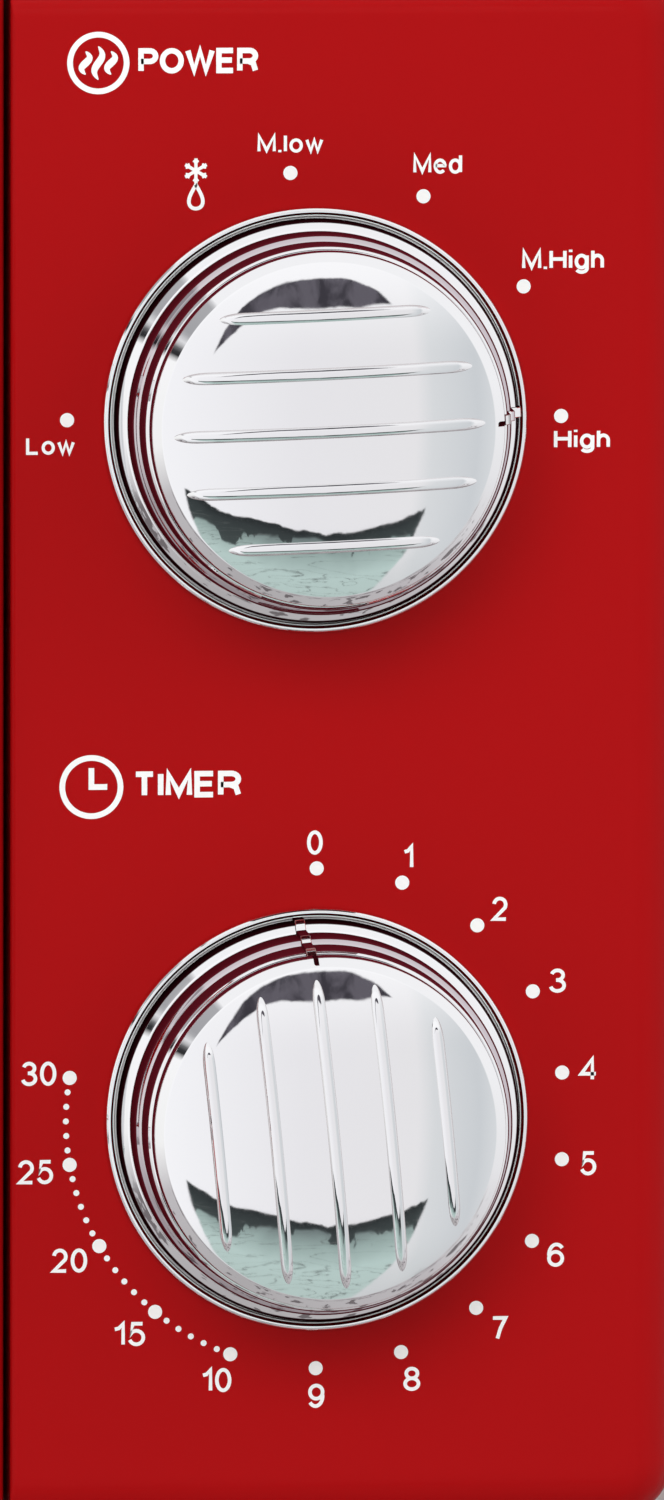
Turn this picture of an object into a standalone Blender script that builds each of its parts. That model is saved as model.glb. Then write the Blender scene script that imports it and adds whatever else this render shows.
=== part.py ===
"""A countertop microwave oven with two round dials, modelled as it comes apart on a bench.

The front faces -Y and the oven stands on z = 0. Lengths are metres. The driving dimensions
come first; everything that fits, seats or lines up is worked out from them.
"""

import math

import bmesh
import bpy
from mathutils import Matrix, Vector

# ---- driving dimensions ------------------------------------------------------------------
WIDTH = 0.447
HEIGHT = 0.259
FOOT_HEIGHT = 0.010
BODY_DEPTH = 0.332  # door face to rear panel
HANDLE_REACH = 0.034  # how far the handle stands in front of the door face
GLAND_PROUD = 0.008  # how far the cord gland stands behind the rear panel
FRONT_DEPTH = 0.036  # thickness of the door
DOOR_BACK_GAP = 0.0015  # between the closed door and the front plate
PANEL_WIDTH = 0.1065
DOOR_GAP = 0.0009  # between the door's free edge and the control panel
EDGE_ROUND = 0.0087  # outer edges of the front
CORNER_ROUND = 0.010
PANEL_EDGE_ROUND = 0.0010  # the panel's edge at the gap beside the door
DOOR_EDGE_ROUND = 0.0030  # the door's edge at that gap
MOULDING_WALL = 0.003
SHEET = 0.001  # pressed steel
SEAM = 0.0003  # between pieces that touch
RUNNING = 0.0003  # radial clearance of turning parts
COVER_INSET = 0.002  # the steel cover stands this far inside the front's outline
COVER_CORNER = 0.009

CAVITY_LEFT_MARGIN = 0.026
CAVITY_RIGHT_MARGIN = 0.0245  # from the cavity to the control panel
CAVITY_TOP_MARGIN = 0.025
CAVITY_FLOOR = 0.034
CAVITY_REAR_MARGIN = 0.0090
SEAL_OVERLAP = 0.008  # the door's seal face past the cavity opening, all round

WINDOW_SIDE_MARGIN = 0.0300  # from the cavity's opening to the window
WINDOW_END_MARGIN = 0.0270
WINDOW_CORNER = 0.024
TRIM_OUTSIDE = 0.0045  # trim past the window opening
TRIM_INSIDE = 0.0030
TRIM_THICKNESS = 0.0022
GLASS_THICKNESS = 0.003

HINGE_FROM_SIDE = 0.0105
HINGE_FROM_BACK = 0.011
HINGE_PIN_R = 0.0025
HINGE_TONGUE_WIDTH = 0.012
HINGE_TONGUE_THICKNESS = 0.002
HINGE_TONGUE_Z = 0.0085  # from the front's top or bottom edge to the tongue
HINGE_PIN_LENGTH = 0.0085
HINGE_BLOCK_HEIGHT = 0.0115
HINGE_BLOCK_LENGTH = 0.0105

HANDLE_FROM_EDGE = 0.0260
HANDLE_LENGTH = 0.164
HANDLE_WIDTH = 0.015
HANDLE_THICKNESS = 0.010
HANDLE_POST_R = 0.0052
HANDLE_POST_SPACING = 0.132
HANDLE_SOCKET = 0.0025  # depth of each post's seat in the bar

DIAL_X = 0.0484  # dial centres from the control panel's left edge
TIMER_DIAL_UP = 0.0766  # from the ground
POWER_DIAL_DOWN = 0.0718  # from the top
POWER_DIAL_SHIFT = -0.0005  # the power dial stands this far left of the timer's
RING_R = 0.0335
RING_WIDTH = 0.0010
RING_PROUD = 0.0020
RING_POCKET = 0.0015  # depth of the round pocket that each trim ring sits in
SHAFT_HOLE_R = 0.0062  # in the panel, behind each knob
KNOB_CLEARANCE = 0.0003  # between the knob's foot and its ring
KNOB_APEX = 0.0246  # height of the knob's dome above the panel face
KNOB_WALL = 0.0020
KNOB_GRIP = 0.0137  # depth of the knob's hub on its shaft
SHAFT_R = 0.0030
SHAFT_IN_UNIT = 0.0147  # length of each shaft inside its selector or timer
POWER_REST_ANGLE = math.radians(87.6)  # clockwise from the top, as seen from the front
TIMER_REST_ANGLE = math.radians(-5.7)
RIB_PITCH = 0.0090
RIB_CIRCLE_INSET = 0.0077  # from the knob's foot to the circle that the ribs end on
RIB_WIDTH = 0.0020
RIB_HEIGHT = 0.0005

TURNTABLE_CLEARANCE = 0.0190  # from the glass plate to the nearest walls
TURNTABLE_GLASS = 0.0045
ROLLER_R = 0.0070
ROLLER_WIDTH = 0.0080
ROLLER_TRACK_INSET = 0.0280  # from the plate's edge
ROLLER_COUNT = 3

FAN_DOWN = 0.0890  # from the oven's top to the fan's axis
FAN_R = 0.0390
PORT_UP = (0.1200, 0.1640)  # the microwave port in the cavity's wall, from the ground
PORT_FROM_REAR = (0.2000, 0.1180)
LAMP_FROM_REAR = 0.0590
LAMP_DOWN = 0.0340  # from the cavity's ceiling

LATCH_FROM_PANEL = 0.0110
LATCH_HOOK_UP = 0.0820  # the lower hook from the ground
LATCH_HOOK_DOWN = 0.0710  # the upper hook from the top
LATCH_LIFT = 0.0040
LATCH_ARM = 0.0050
LATCH_REACH = 0.0220  # hooks past the door's back

# ---- places worked out from them ----------------------------------------------------------
X_LEFT = -WIDTH / 2
X_RIGHT = WIDTH / 2
Y_FRONT = HANDLE_REACH - (HANDLE_REACH + BODY_DEPTH + GLAND_PROUD) / 2
Y_DOOR_BACK = Y_FRONT + FRONT_DEPTH
Y_PLATE = Y_DOOR_BACK + DOOR_BACK_GAP
Y_PLATE_BACK = Y_PLATE + SHEET
Y_REAR = Y_FRONT + BODY_DEPTH
Z_FRONT_LOW = FOOT_HEIGHT + SHEET
PANEL_X = X_RIGHT - PANEL_WIDTH
DOOR_X = PANEL_X - DOOR_GAP
COVER_LEFT = X_LEFT + COVER_INSET
COVER_RIGHT = X_RIGHT - COVER_INSET
COVER_TOP = HEIGHT - COVER_INSET
CAVITY_X = (X_LEFT + CAVITY_LEFT_MARGIN, PANEL_X - CAVITY_RIGHT_MARGIN)
CAVITY_Y = (Y_PLATE_BACK + SEAM, Y_REAR - CAVITY_REAR_MARGIN)
CAVITY_Z = (CAVITY_FLOOR, HEIGHT - CAVITY_TOP_MARGIN)
CAVITY_CENTRE_X = sum(CAVITY_X) / 2
TURNTABLE_Y = sum(CAVITY_Y) / 2
TURNTABLE_R = min(CAVITY_X[1] - CAVITY_X[0], CAVITY_Y[1] - CAVITY_Y[0]) / 2 - TURNTABLE_CLEARANCE
ROLLER_TRACK_R = TURNTABLE_R - ROLLER_TRACK_INSET
BAY_X = CAVITY_X[1] + SHEET  # the cavity's outer wall, where the component bay starts
BAY_CENTRE_X = (BAY_X + COVER_RIGHT) / 2
BASE_TOP = FOOT_HEIGHT + SHEET
RING_INNER_R = RING_R - RING_WIDTH
KNOB_R = RING_INNER_R - KNOB_CLEARANCE
RIB_CIRCLE_R = KNOB_R - RIB_CIRCLE_INSET
DIAL_CENTRES = {
    "power": Vector((PANEL_X + DIAL_X + POWER_DIAL_SHIFT, Y_FRONT, HEIGHT - POWER_DIAL_DOWN)),
    "timer": Vector((PANEL_X + DIAL_X, Y_FRONT, TIMER_DIAL_UP)),
}
WINDOW_X = (CAVITY_X[0] + WINDOW_SIDE_MARGIN, CAVITY_X[1] - WINDOW_SIDE_MARGIN)
WINDOW_Z = (CAVITY_Z[0] + WINDOW_END_MARGIN, CAVITY_Z[1] - WINDOW_END_MARGIN)
HANDLE_X = DOOR_X - HANDLE_FROM_EDGE
FAN_X = BAY_CENTRE_X
FAN_Z = HEIGHT - FAN_DOWN
PORT_Y = tuple(Y_REAR - d for d in PORT_FROM_REAR)
PORT_CENTRE = (sum(PORT_Y) / 2, sum(PORT_UP) / 2)
LAMP_Y = Y_REAR - LAMP_FROM_REAR
LAMP_Z = CAVITY_Z[1] - LAMP_DOWN
LATCH_X = PANEL_X - LATCH_FROM_PANEL
LATCH_HOOKS_Z = (LATCH_HOOK_UP, HEIGHT - LATCH_HOOK_DOWN)
HINGE_X = X_LEFT + HINGE_FROM_SIDE
HINGE_Y = Y_DOOR_BACK - HINGE_FROM_BACK

COLOURS = {
    "red_enamel": ((0.42, 0.012, 0.016), 0.22, 0.0),
    "chrome": ((0.82, 0.83, 0.84), 0.06, 1.0),
    "dark_glass": ((0.02, 0.02, 0.022), 0.05, 0.0),
    "black_plastic": ((0.02, 0.02, 0.02), 0.45, 0.0),
    "white_plastic": ((0.72, 0.70, 0.66), 0.45, 0.0),
    "zinc_steel": ((0.55, 0.56, 0.58), 0.38, 1.0),
    "cavity_enamel": ((0.62, 0.62, 0.60), 0.40, 0.0),
    "clear_glass": ((0.80, 0.86, 0.85), 0.03, 0.0),
    "rubber": ((0.03, 0.03, 0.03), 0.80, 0.0),
    "laminated_steel": ((0.16, 0.15, 0.15), 0.55, 1.0),
    "copper": ((0.55, 0.22, 0.10), 0.35, 1.0),
    "aluminium": ((0.70, 0.71, 0.72), 0.35, 1.0),
    "mica": ((0.50, 0.42, 0.30), 0.60, 0.0),
    "circuit_board": ((0.30, 0.20, 0.08), 0.60, 0.0),
}

part = bpy.data.collections.new("microwave_oven")
cutters = bpy.data.collections.new("cutters")


# ---- tools --------------------------------------------------------------------------------
def clear_scene():
    for obj in list(bpy.data.objects):
        bpy.data.objects.remove(obj)
    for collection in (part, cutters):
        bpy.context.scene.collection.children.link(collection)
    cutters.hide_render = True


def material(name):
    found = bpy.data.materials.get(name)
    if found:
        return found
    colour, roughness, metallic = COLOURS[name]
    made = bpy.data.materials.new(name)
    made.use_nodes = True
    shader = made.node_tree.nodes["Principled BSDF"]
    shader.inputs["Base Color"].default_value = (*colour, 1)
    shader.inputs["Roughness"].default_value = roughness
    shader.inputs["Metallic"].default_value = metallic
    return made


def finish_mesh(name, bm, finish, smooth=False):
    """Makes the object from bm. With no finish it is a cutter."""
    bmesh.ops.recalc_face_normals(bm, faces=bm.faces)
    mesh = bpy.data.meshes.new(name)
    bm.to_mesh(mesh)
    bm.free()
    if smooth:
        mesh.shade_smooth()
        mesh.set_sharp_from_angle(angle=math.radians(35))
    obj = bpy.data.objects.new(name, mesh)
    (part if finish else cutters).objects.link(obj)
    if finish:
        mesh.materials.append(material(finish))
    else:
        obj.hide_render = True
        obj.display_type = "WIRE"
    return obj


def add_box(bm, x, y, z):
    """Adds a box given its two limits on each axis."""
    size = Vector((x[1] - x[0], y[1] - y[0], z[1] - z[0]))
    centre = Vector((sum(x), sum(y), sum(z))) / 2
    bmesh.ops.create_cube(bm, size=1, matrix=Matrix.Translation(centre) @ Matrix.Diagonal((*size, 1)))


def boxes(name, limits, finish=None):
    """One object holding a box for each (x, y, z) of limits."""
    bm = bmesh.new()
    for x, y, z in limits:
        add_box(bm, x, y, z)
    return finish_mesh(name, bm, finish)


def towards(axis):
    """The rotation that turns local +Z to the axis, given as '-Y', '+X' and so on."""
    direction = Vector([float(axis[0] + "1") if axis[1] == a else 0 for a in "XYZ"])
    return direction.to_track_quat("Z", "Y").to_matrix().to_4x4()


def cylinder(name, start, axis, radius, length, finish=None, segments=24, tip_radius=None):
    """A cylinder, or a cone with a tip radius, that runs from start along axis."""
    bm = bmesh.new()
    place = Matrix.Translation(start) @ towards(axis) @ Matrix.Translation((0, 0, length / 2))
    tip = radius if tip_radius is None else tip_radius
    bmesh.ops.create_cone(
        bm, cap_ends=True, segments=segments, radius1=radius, radius2=tip, depth=length, matrix=place
    )
    return finish_mesh(name, bm, finish, smooth=True)


def turned(name, profile, centre, axis, finish=None, steps=32, ring=False):
    """Turns a profile of (radius, height) round the axis. It runs from the top down its outer side."""
    mesh = bpy.data.meshes.new(name)
    edges = [(i, i + 1) for i in range(len(profile) - 1)]
    if ring:
        edges.append((len(profile) - 1, 0))
    mesh.from_pydata([(r, 0, h) for r, h in profile], edges, [])
    obj = bpy.data.objects.new(name, mesh)
    (part if finish else cutters).objects.link(obj)
    obj.matrix_world = Matrix.Translation(centre) @ towards(axis)
    screw = obj.modifiers.new("turn", "SCREW")
    screw.steps = screw.render_steps = steps
    screw.use_merge_vertices = True
    screw.merge_threshold = 1e-5
    screw.use_smooth_shade = True
    return as_mesh(obj, finish)


def as_mesh(obj, finish):
    """The object's evaluated mesh, welded and at the world's origin, in its place."""
    bpy.context.view_layer.update()
    graph = bpy.context.evaluated_depsgraph_get()
    mesh = bpy.data.meshes.new_from_object(obj.evaluated_get(graph))
    bm = bmesh.new()
    bm.from_mesh(mesh)
    bm.transform(obj.matrix_world)
    bmesh.ops.remove_doubles(bm, verts=bm.verts, dist=1e-5)
    name = obj.name
    bpy.data.objects.remove(obj)
    return finish_mesh(name, bm, finish, smooth=True)


PLANES = {  # the rotation that lays a drawn outline in the plane across the axis
    "Z": Matrix.Identity(4),
    "Y": Matrix.Rotation(math.pi / 2, 4, "X"),
    "X": Matrix.Rotation(math.pi / 2, 4, "Z") @ Matrix.Rotation(math.pi / 2, 4, "X"),
}


def plate(name, loops, axis, limits, finish=None):
    """A flat outline, with the other loops as its holes, extruded between the limits on the axis."""
    curve = bpy.data.curves.new(name, "CURVE")
    curve.dimensions = "2D"
    curve.fill_mode = "BOTH"
    curve.extrude = (limits[1] - limits[0]) / 2
    for loop in loops:
        spline = curve.splines.new("POLY")
        spline.points.add(len(loop) - 1)
        spline.use_cyclic_u = True
        for point, (u, v) in zip(spline.points, loop):
            point.co = (u, v, 0, 1)
    obj = bpy.data.objects.new(name, curve)
    cutters.objects.link(obj)
    middle = Vector([sum(limits) / 2 if a == axis else 0 for a in "XYZ"])
    obj.matrix_world = Matrix.Translation(middle) @ PLANES[axis]
    return as_mesh(obj, finish)


def rectangle(u, v):
    return [(u[0], v[0]), (u[1], v[0]), (u[1], v[1]), (u[0], v[1])]


def rounded_rectangle(u, v, radii, segments=4):
    """Corners run from low u, low v round by high u, and radii gives one radius for each."""
    if not hasattr(radii, "__len__"):
        radii = (radii,) * 4
    corners = [(u[0], v[0], 1, 1), (u[1], v[0], -1, 1), (u[1], v[1], -1, -1), (u[0], v[1], 1, -1)]
    points = []
    for i, ((cu, cv, du, dv), r) in enumerate(zip(corners, radii)):
        for k in range(segments + 1):
            angle = math.pi + math.pi / 2 * (i + k / segments)
            points.append((cu + r * du + r * math.cos(angle), cv + r * dv + r * math.sin(angle)))
    return points


def circle(u, v, radius, segments=24):
    turn = 2 * math.pi / segments
    return [(u + radius * math.cos(turn * k), v + radius * math.sin(turn * k)) for k in range(segments)]


def loft(name, rings, finish=None):
    """A closed solid through rings that all have the same number of points."""
    bm = bmesh.new()
    rows = [[bm.verts.new(p) for p in ring] for ring in rings]
    for a, b in zip(rows, rows[1:]):
        for k in range(len(a)):
            n = (k + 1) % len(a)
            bm.faces.new((a[k], a[n], b[n], b[k]))
    bm.faces.new(rows[0])
    bm.faces.new(rows[-1])
    return finish_mesh(name, bm, finish)


def boolean(obj, operation, *others):
    """Cuts or joins the others, and applies it."""
    for other in others:
        modifier = obj.modifiers.new(operation.lower(), "BOOLEAN")
        modifier.operation = operation
        modifier.object = other
        modifier.solver = "EXACT"
    bpy.context.view_layer.update()
    graph = bpy.context.evaluated_depsgraph_get()
    mesh = bpy.data.meshes.new_from_object(obj.evaluated_get(graph))
    obj.modifiers.clear()
    obj.data = mesh
    for other in others:
        bpy.data.objects.remove(other)
    return obj


def cut(obj, *others):
    return boolean(obj, "DIFFERENCE", *others)


def join(obj, *others):
    return boolean(obj, "UNION", *others)


def grow(limits, by):
    return (limits[0] - by, limits[1] + by)


def spread(centre, size):
    return (centre - size / 2, centre + size / 2)


# ---- cabinet ------------------------------------------------------------------------------
def feet():
    for side, x in (("left", COVER_LEFT + 0.046), ("right", COVER_RIGHT - 0.046)):
        for end, y in (("front", Y_PLATE + 0.036), ("rear", Y_REAR - 0.032)):
            profile = [(0, FOOT_HEIGHT - SEAM), (0.0125, FOOT_HEIGHT - SEAM), (0.0125, 0.004),
                       (0.0105, 0), (0, 0)]
            turned(f"foot_{end}_{side}", profile, (x, y, 0), "+Z", "rubber", steps=20)


def base_plate():
    y = (Y_PLATE_BACK + SEAM, Y_REAR - SHEET - SEAM)
    x = (COVER_LEFT + SHEET + SEAM, COVER_RIGHT - SHEET - SEAM)
    slots = [
        rectangle(spread(BAY_X + 0.018 + 0.008 * k, 0.0035), spread(Y_REAR - 0.076, 0.040))
        for k in range(10)
    ]
    motor_door = rounded_rectangle(spread(CAVITY_CENTRE_X, 0.066), spread(TURNTABLE_Y, 0.066), 0.006, 2)
    plate("base_plate", [rectangle(x, y), motor_door, *slots], "Z", (FOOT_HEIGHT, BASE_TOP), "zinc_steel")


def outer_cover():
    """The steel wrap: top and both sides, with louvre slots at the rear of each side."""
    low = FOOT_HEIGHT
    arcs = []
    for inset, order in ((0, 1), (SHEET, -1)):
        arch = rounded_rectangle(
            (COVER_LEFT + inset, COVER_RIGHT - inset), (low, COVER_TOP - inset),
            (0, 0, COVER_CORNER - inset, COVER_CORNER - inset), 4,
        )
        corners = [arch[5]] + arch[10:20] + [arch[0]]  # up the right side and down the left
        arcs += corners[::order]
    y = (Y_PLATE + SEAM, Y_REAR - SHEET - SEAM)
    cover = plate("outer_cover", [arcs], "Y", y, "red_enamel")
    slots = []
    for side_x, rows in ((COVER_RIGHT, 2), (COVER_LEFT, 1)):
        for row in range(rows):
            for k in range(9):
                z = HEIGHT - 0.139 + 0.011 * k
                slot_y = spread(Y_REAR - 0.040 - 0.040 * row, 0.030)
                slots.append((spread(side_x, 0.010), slot_y, spread(z, 0.003)))
    cut(cover, boxes("louvres", slots))


def rear_panel():
    outline = rounded_rectangle(
        (COVER_LEFT, COVER_RIGHT), (FOOT_HEIGHT, COVER_TOP), (0.002, 0.002, COVER_CORNER, COVER_CORNER), 4
    )
    intake = [
        rectangle(spread(FAN_X, 0.062 - 0.002 * abs(k)), spread(FAN_Z + 0.009 * k, 0.004))
        for k in range(-3, 4)
    ]
    exhaust = [
        rectangle(spread(CAVITY_X[0] + 0.055, 0.050), spread(HEIGHT - 0.054 + 0.008 * k, 0.0035))
        for k in range(4)
    ]
    gland = circle(*GLAND_XZ, GLAND_R + SEAM, 20)
    plate("rear_panel", [outline, gland, *intake, *exhaust], "Y", (Y_REAR - SHEET, Y_REAR), "zinc_steel")


GLAND_R = 0.0065
GLAND_XZ = (COVER_RIGHT - 0.030, 0.050)


def cord_gland():
    """The bush that the mains lead would pass through."""
    bore, wall = 0.0036, SHEET + SEAM
    profile = [
        (0.0056, GLAND_PROUD), (0.0090, SEAM), (GLAND_R, SEAM), (GLAND_R, -wall),
        (0.0085, -wall), (0.0085, -wall - 0.003), (bore, -wall - 0.003), (bore, GLAND_PROUD),
    ]
    centre = (GLAND_XZ[0], Y_REAR, GLAND_XZ[1])
    turned("cord_gland", profile, centre, "+Y", "black_plastic", steps=20, ring=True)


def latch_slot(z, side=0.0055, below=0.0045, above=None):
    """The opening that a hook passes, with room for its swing to the right and for its lift."""
    above = LATCH_ARM + LATCH_LIFT + 0.001 if above is None else above
    return (LATCH_X - 0.0035, LATCH_X + side), (z - below, z + above)


def front_plate():
    x = (COVER_LEFT + SHEET + SEAM, COVER_RIGHT - SHEET - SEAM)
    z = (BASE_TOP + SEAM, COVER_TOP - SHEET - SEAM)
    corner = COVER_CORNER - SHEET
    outline = rounded_rectangle(x, z, (0.001, 0.001, corner, corner), 4)
    dials = rectangle((PANEL_X + 0.006, X_RIGHT - 0.014), (z[0] + 0.010, z[1] - 0.010))
    slots = [rectangle(*latch_slot(hook)) for hook in LATCH_HOOKS_Z]
    tongue = (HINGE_TONGUE_WIDTH + 2 * SEAM, HINGE_TONGUE_THICKNESS + 2 * SEAM)
    tongues = [
        rectangle(spread(HINGE_X, tongue[0]), spread(at, tongue[1])) for at in HINGE_LEVELS.values()
    ]
    loops = [outline, rectangle(CAVITY_X, CAVITY_Z), dials, *slots, *tongues]
    plate("front_plate", loops, "Y", (Y_PLATE, Y_PLATE_BACK), "cavity_enamel")


HINGE_LEVELS = {
    "upper": HEIGHT - HINGE_TONGUE_Z - HINGE_TONGUE_THICKNESS / 2,
    "lower": Z_FRONT_LOW + HINGE_TONGUE_Z + HINGE_TONGUE_THICKNESS / 2,
}


def hinges():
    """Each hinge is a steel tongue through the front plate with a tab behind it, and its pin."""
    for end, level in HINGE_LEVELS.items():
        inward = -1 if end == "upper" else 1
        half = HINGE_TONGUE_WIDTH / 2
        tip = [
            (HINGE_X + half * math.cos(a), HINGE_Y + half * math.sin(a))
            for a in (math.pi + math.pi * k / 8 for k in range(9))
        ]
        back = Y_PLATE_BACK + SEAM + HINGE_TONGUE_THICKNESS
        outline = tip + [(HINGE_X + half, back), (HINGE_X - half, back)]
        hole = circle(HINGE_X, HINGE_Y, HINGE_PIN_R + RUNNING, 20)
        z = spread(level, HINGE_TONGUE_THICKNESS)
        tongue = plate(f"hinge_{end}", [outline, hole], "Z", z, "zinc_steel")
        tab_z = sorted((level - inward * HINGE_TONGUE_THICKNESS / 2, level + inward * 0.0115))
        tab_y = (back - HINGE_TONGUE_THICKNESS, back)
        tab = boxes("tab", [(spread(HINGE_X, HINGE_TONGUE_WIDTH), tab_y, tab_z)])
        join(tongue, tab)
        start = (HINGE_X, HINGE_Y, level - HINGE_PIN_LENGTH / 2)
        cylinder(f"hinge_pin_{end}", start, "+Z", HINGE_PIN_R, HINGE_PIN_LENGTH, "zinc_steel", 20)


def oven_cavity():
    """The welded steel box, open at the front."""
    outer = (grow(CAVITY_X, SHEET), (CAVITY_Y[0], CAVITY_Y[1] + SHEET), grow(CAVITY_Z, SHEET))
    inner = (CAVITY_X, (CAVITY_Y[0] - 0.01, CAVITY_Y[1]), CAVITY_Z)
    cavity = boxes("oven_cavity", [outer], "cavity_enamel")
    wall = (CAVITY_X[1] - 0.005, CAVITY_X[1] + 0.005)
    port = (wall, PORT_Y, PORT_UP)
    lamp = [
        (wall, spread(LAMP_Y + 0.005 * i, 0.003), spread(LAMP_Z + 0.005 * j, 0.003))
        for i in range(-2, 3) for j in range(-1, 2)
    ]
    left = (CAVITY_X[0] - 0.005, CAVITY_X[0] + 0.005)
    vent = [
        (left, spread(LAMP_Y + 0.010 - 0.006 * i, 0.003), spread(CAVITY_Z[1] - 0.029 + 0.008 * j, 0.005))
        for i in range(8) for j in range(2)
    ]
    shaft = cylinder("shaft_hole", (CAVITY_CENTRE_X, TURNTABLE_Y, CAVITY_FLOOR - 0.005), "+Z", 0.0060, 0.01)
    cut(cavity, boxes("inside", [inner]), boxes("openings", [port, *lamp, *vent]), shaft)


# ---- microwave source and component bay -----------------------------------------------------
GUIDE_DEPTH = 0.038
MAGNETRON_Y = PORT_CENTRE[0] + 0.014


def waveguide():
    """A duct on the cavity's right wall, open to the port, with a hole for the antenna."""
    x = (BAY_X + SEAM, BAY_X + SEAM + GUIDE_DEPTH)
    y, z = grow(PORT_Y, 0.004), grow(PORT_UP, 0.004)
    duct = boxes("waveguide", [(x, y, z)], "zinc_steel")
    inside = ((x[0] - 0.01, x[1] - SHEET), grow(y, -SHEET), grow(z, -SHEET))
    start = (x[1] - 0.005, MAGNETRON_Y, PORT_CENTRE[1])
    cut(duct, boxes("inside", [inside]), cylinder("antenna_hole", start, "+X", 0.0105, 0.01, segments=20))


def waveguide_cover():
    x = (CAVITY_X[1] - SEAM - 0.0008, CAVITY_X[1] - SEAM)
    loops = [rounded_rectangle(grow(PORT_Y, 0.006), grow(PORT_UP, 0.006), 0.006, 3)]
    plate("waveguide_cover", loops, "X", x, "mica")


def magnetron():
    """A yoke box with a stack of cooling fins, and the antenna that stands in the waveguide."""
    x0 = BAY_X + 2 * SEAM + GUIDE_DEPTH
    x, y = (x0, x0 + 0.056), spread(MAGNETRON_Y, 0.074)
    z = spread(PORT_CENTRE[1], 0.082)
    body = boxes("magnetron", [(x, y, z)], "aluminium")
    pitch = 0.0052
    fins = [
        ((x[0] + 0.008 + pitch * k, x[0] + 0.0112 + pitch * k), grow(y, 0.01), side)
        for k in range(8) for side in ((z[0] + 0.010, z[0] + 0.026), (z[1] - 0.026, z[1] - 0.010))
    ]
    cut(body, boxes("fins", fins))
    start = (x0 + 0.002, MAGNETRON_Y, PORT_CENTRE[1])
    end = ((x[1] - 0.002, x[1] + 0.014), spread(MAGNETRON_Y, 0.030), spread(PORT_CENTRE[1], 0.030))
    filament = boxes("filament_box", [end])
    join(body, cylinder("antenna", start, "-X", 0.0085, 0.026, segments=16), filament)


def transformer():
    """A laminated core shaped like a figure eight, and the windings through its two windows."""
    x, y = spread(BAY_CENTRE_X + 0.0085, 0.090), spread(Y_REAR - 0.131, 0.048)
    z = (BASE_TOP + SEAM, BASE_TOP + SEAM + 0.076)
    window, leg = 0.018, 0.026
    centre = sum(x) / 2
    windows = [
        rectangle(spread(centre + side * (leg + window) / 2, window), grow(z, -0.014)) for side in (-1, 1)
    ]
    plate("transformer_core", [rectangle(x, z), *windows], "Y", y, "laminated_steel")
    gap = 0.0006
    outer_x = spread(centre, leg + 2 * window - 2 * gap)
    outer = rounded_rectangle(outer_x, grow(y, window), 0.008, 3)
    inner = rounded_rectangle(spread(centre, leg + 2 * gap), grow(y, gap), 0.0015, 3)
    plate("transformer_windings", [outer, inner], "Z", grow(z, -0.014 - gap), "copper")


CAPACITOR_Y = (Y_REAR - 0.081, Y_REAR - 0.007)
CAPACITOR_X = BAY_X + 0.0395
CAPACITOR_Z = BASE_TOP + 0.0285
CLAMP_Y = spread(Y_REAR - 0.044, 0.014)


def capacitor_and_diode():
    """The high-voltage capacitor lies along the bay floor under its clamp, with the diode on top."""
    half_x, half_z = 0.0175, 0.026
    loops = [rounded_rectangle(spread(CAPACITOR_X, 2 * half_x), spread(CAPACITOR_Z, 2 * half_z), 0.017, 4)]
    can = plate("capacitor", loops, "Y", CAPACITOR_Y, "aluminium")
    tab_y = (CAPACITOR_Y[0] - 0.010, CAPACITOR_Y[0] + 0.001)
    tabs = [
        (spread(CAPACITOR_X, 0.006), tab_y, spread(CAPACITOR_Z + dz, 0.0008)) for dz in (-0.010, 0.010)
    ]
    join(can, *[boxes(f"tab_{i}", [tab]) for i, tab in enumerate(tabs)])
    outer_x, outer_z = half_x + SEAM + 0.0012, half_z + SEAM + 0.0012
    low = BASE_TOP + SEAM
    outside = rounded_rectangle(
        spread(CAPACITOR_X, 2 * outer_x), (low, CAPACITOR_Z + outer_z), (0.001, 0.001, 0.018, 0.018), 4
    )
    bore = rounded_rectangle(
        spread(CAPACITOR_X, 2 * (half_x + SEAM)), spread(CAPACITOR_Z, 2 * (half_z + SEAM)), 0.017, 4
    )
    strap = plate("capacitor_clamp", [outside, bore], "Y", CLAMP_Y, "zinc_steel")
    ear = (CAPACITOR_X + outer_x - 0.001, CAPACITOR_X + outer_x + 0.014)
    join(strap, boxes("ear", [(ear, CLAMP_Y, (low, low + 0.0012))]))
    radius = 0.0035
    start = (CAPACITOR_X, CAPACITOR_Y[0] + 0.006, CAPACITOR_Z + half_z + SEAM + radius)
    cylinder("high_voltage_diode", start, "+Y", radius, 0.018, "black_plastic", 16)


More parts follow.
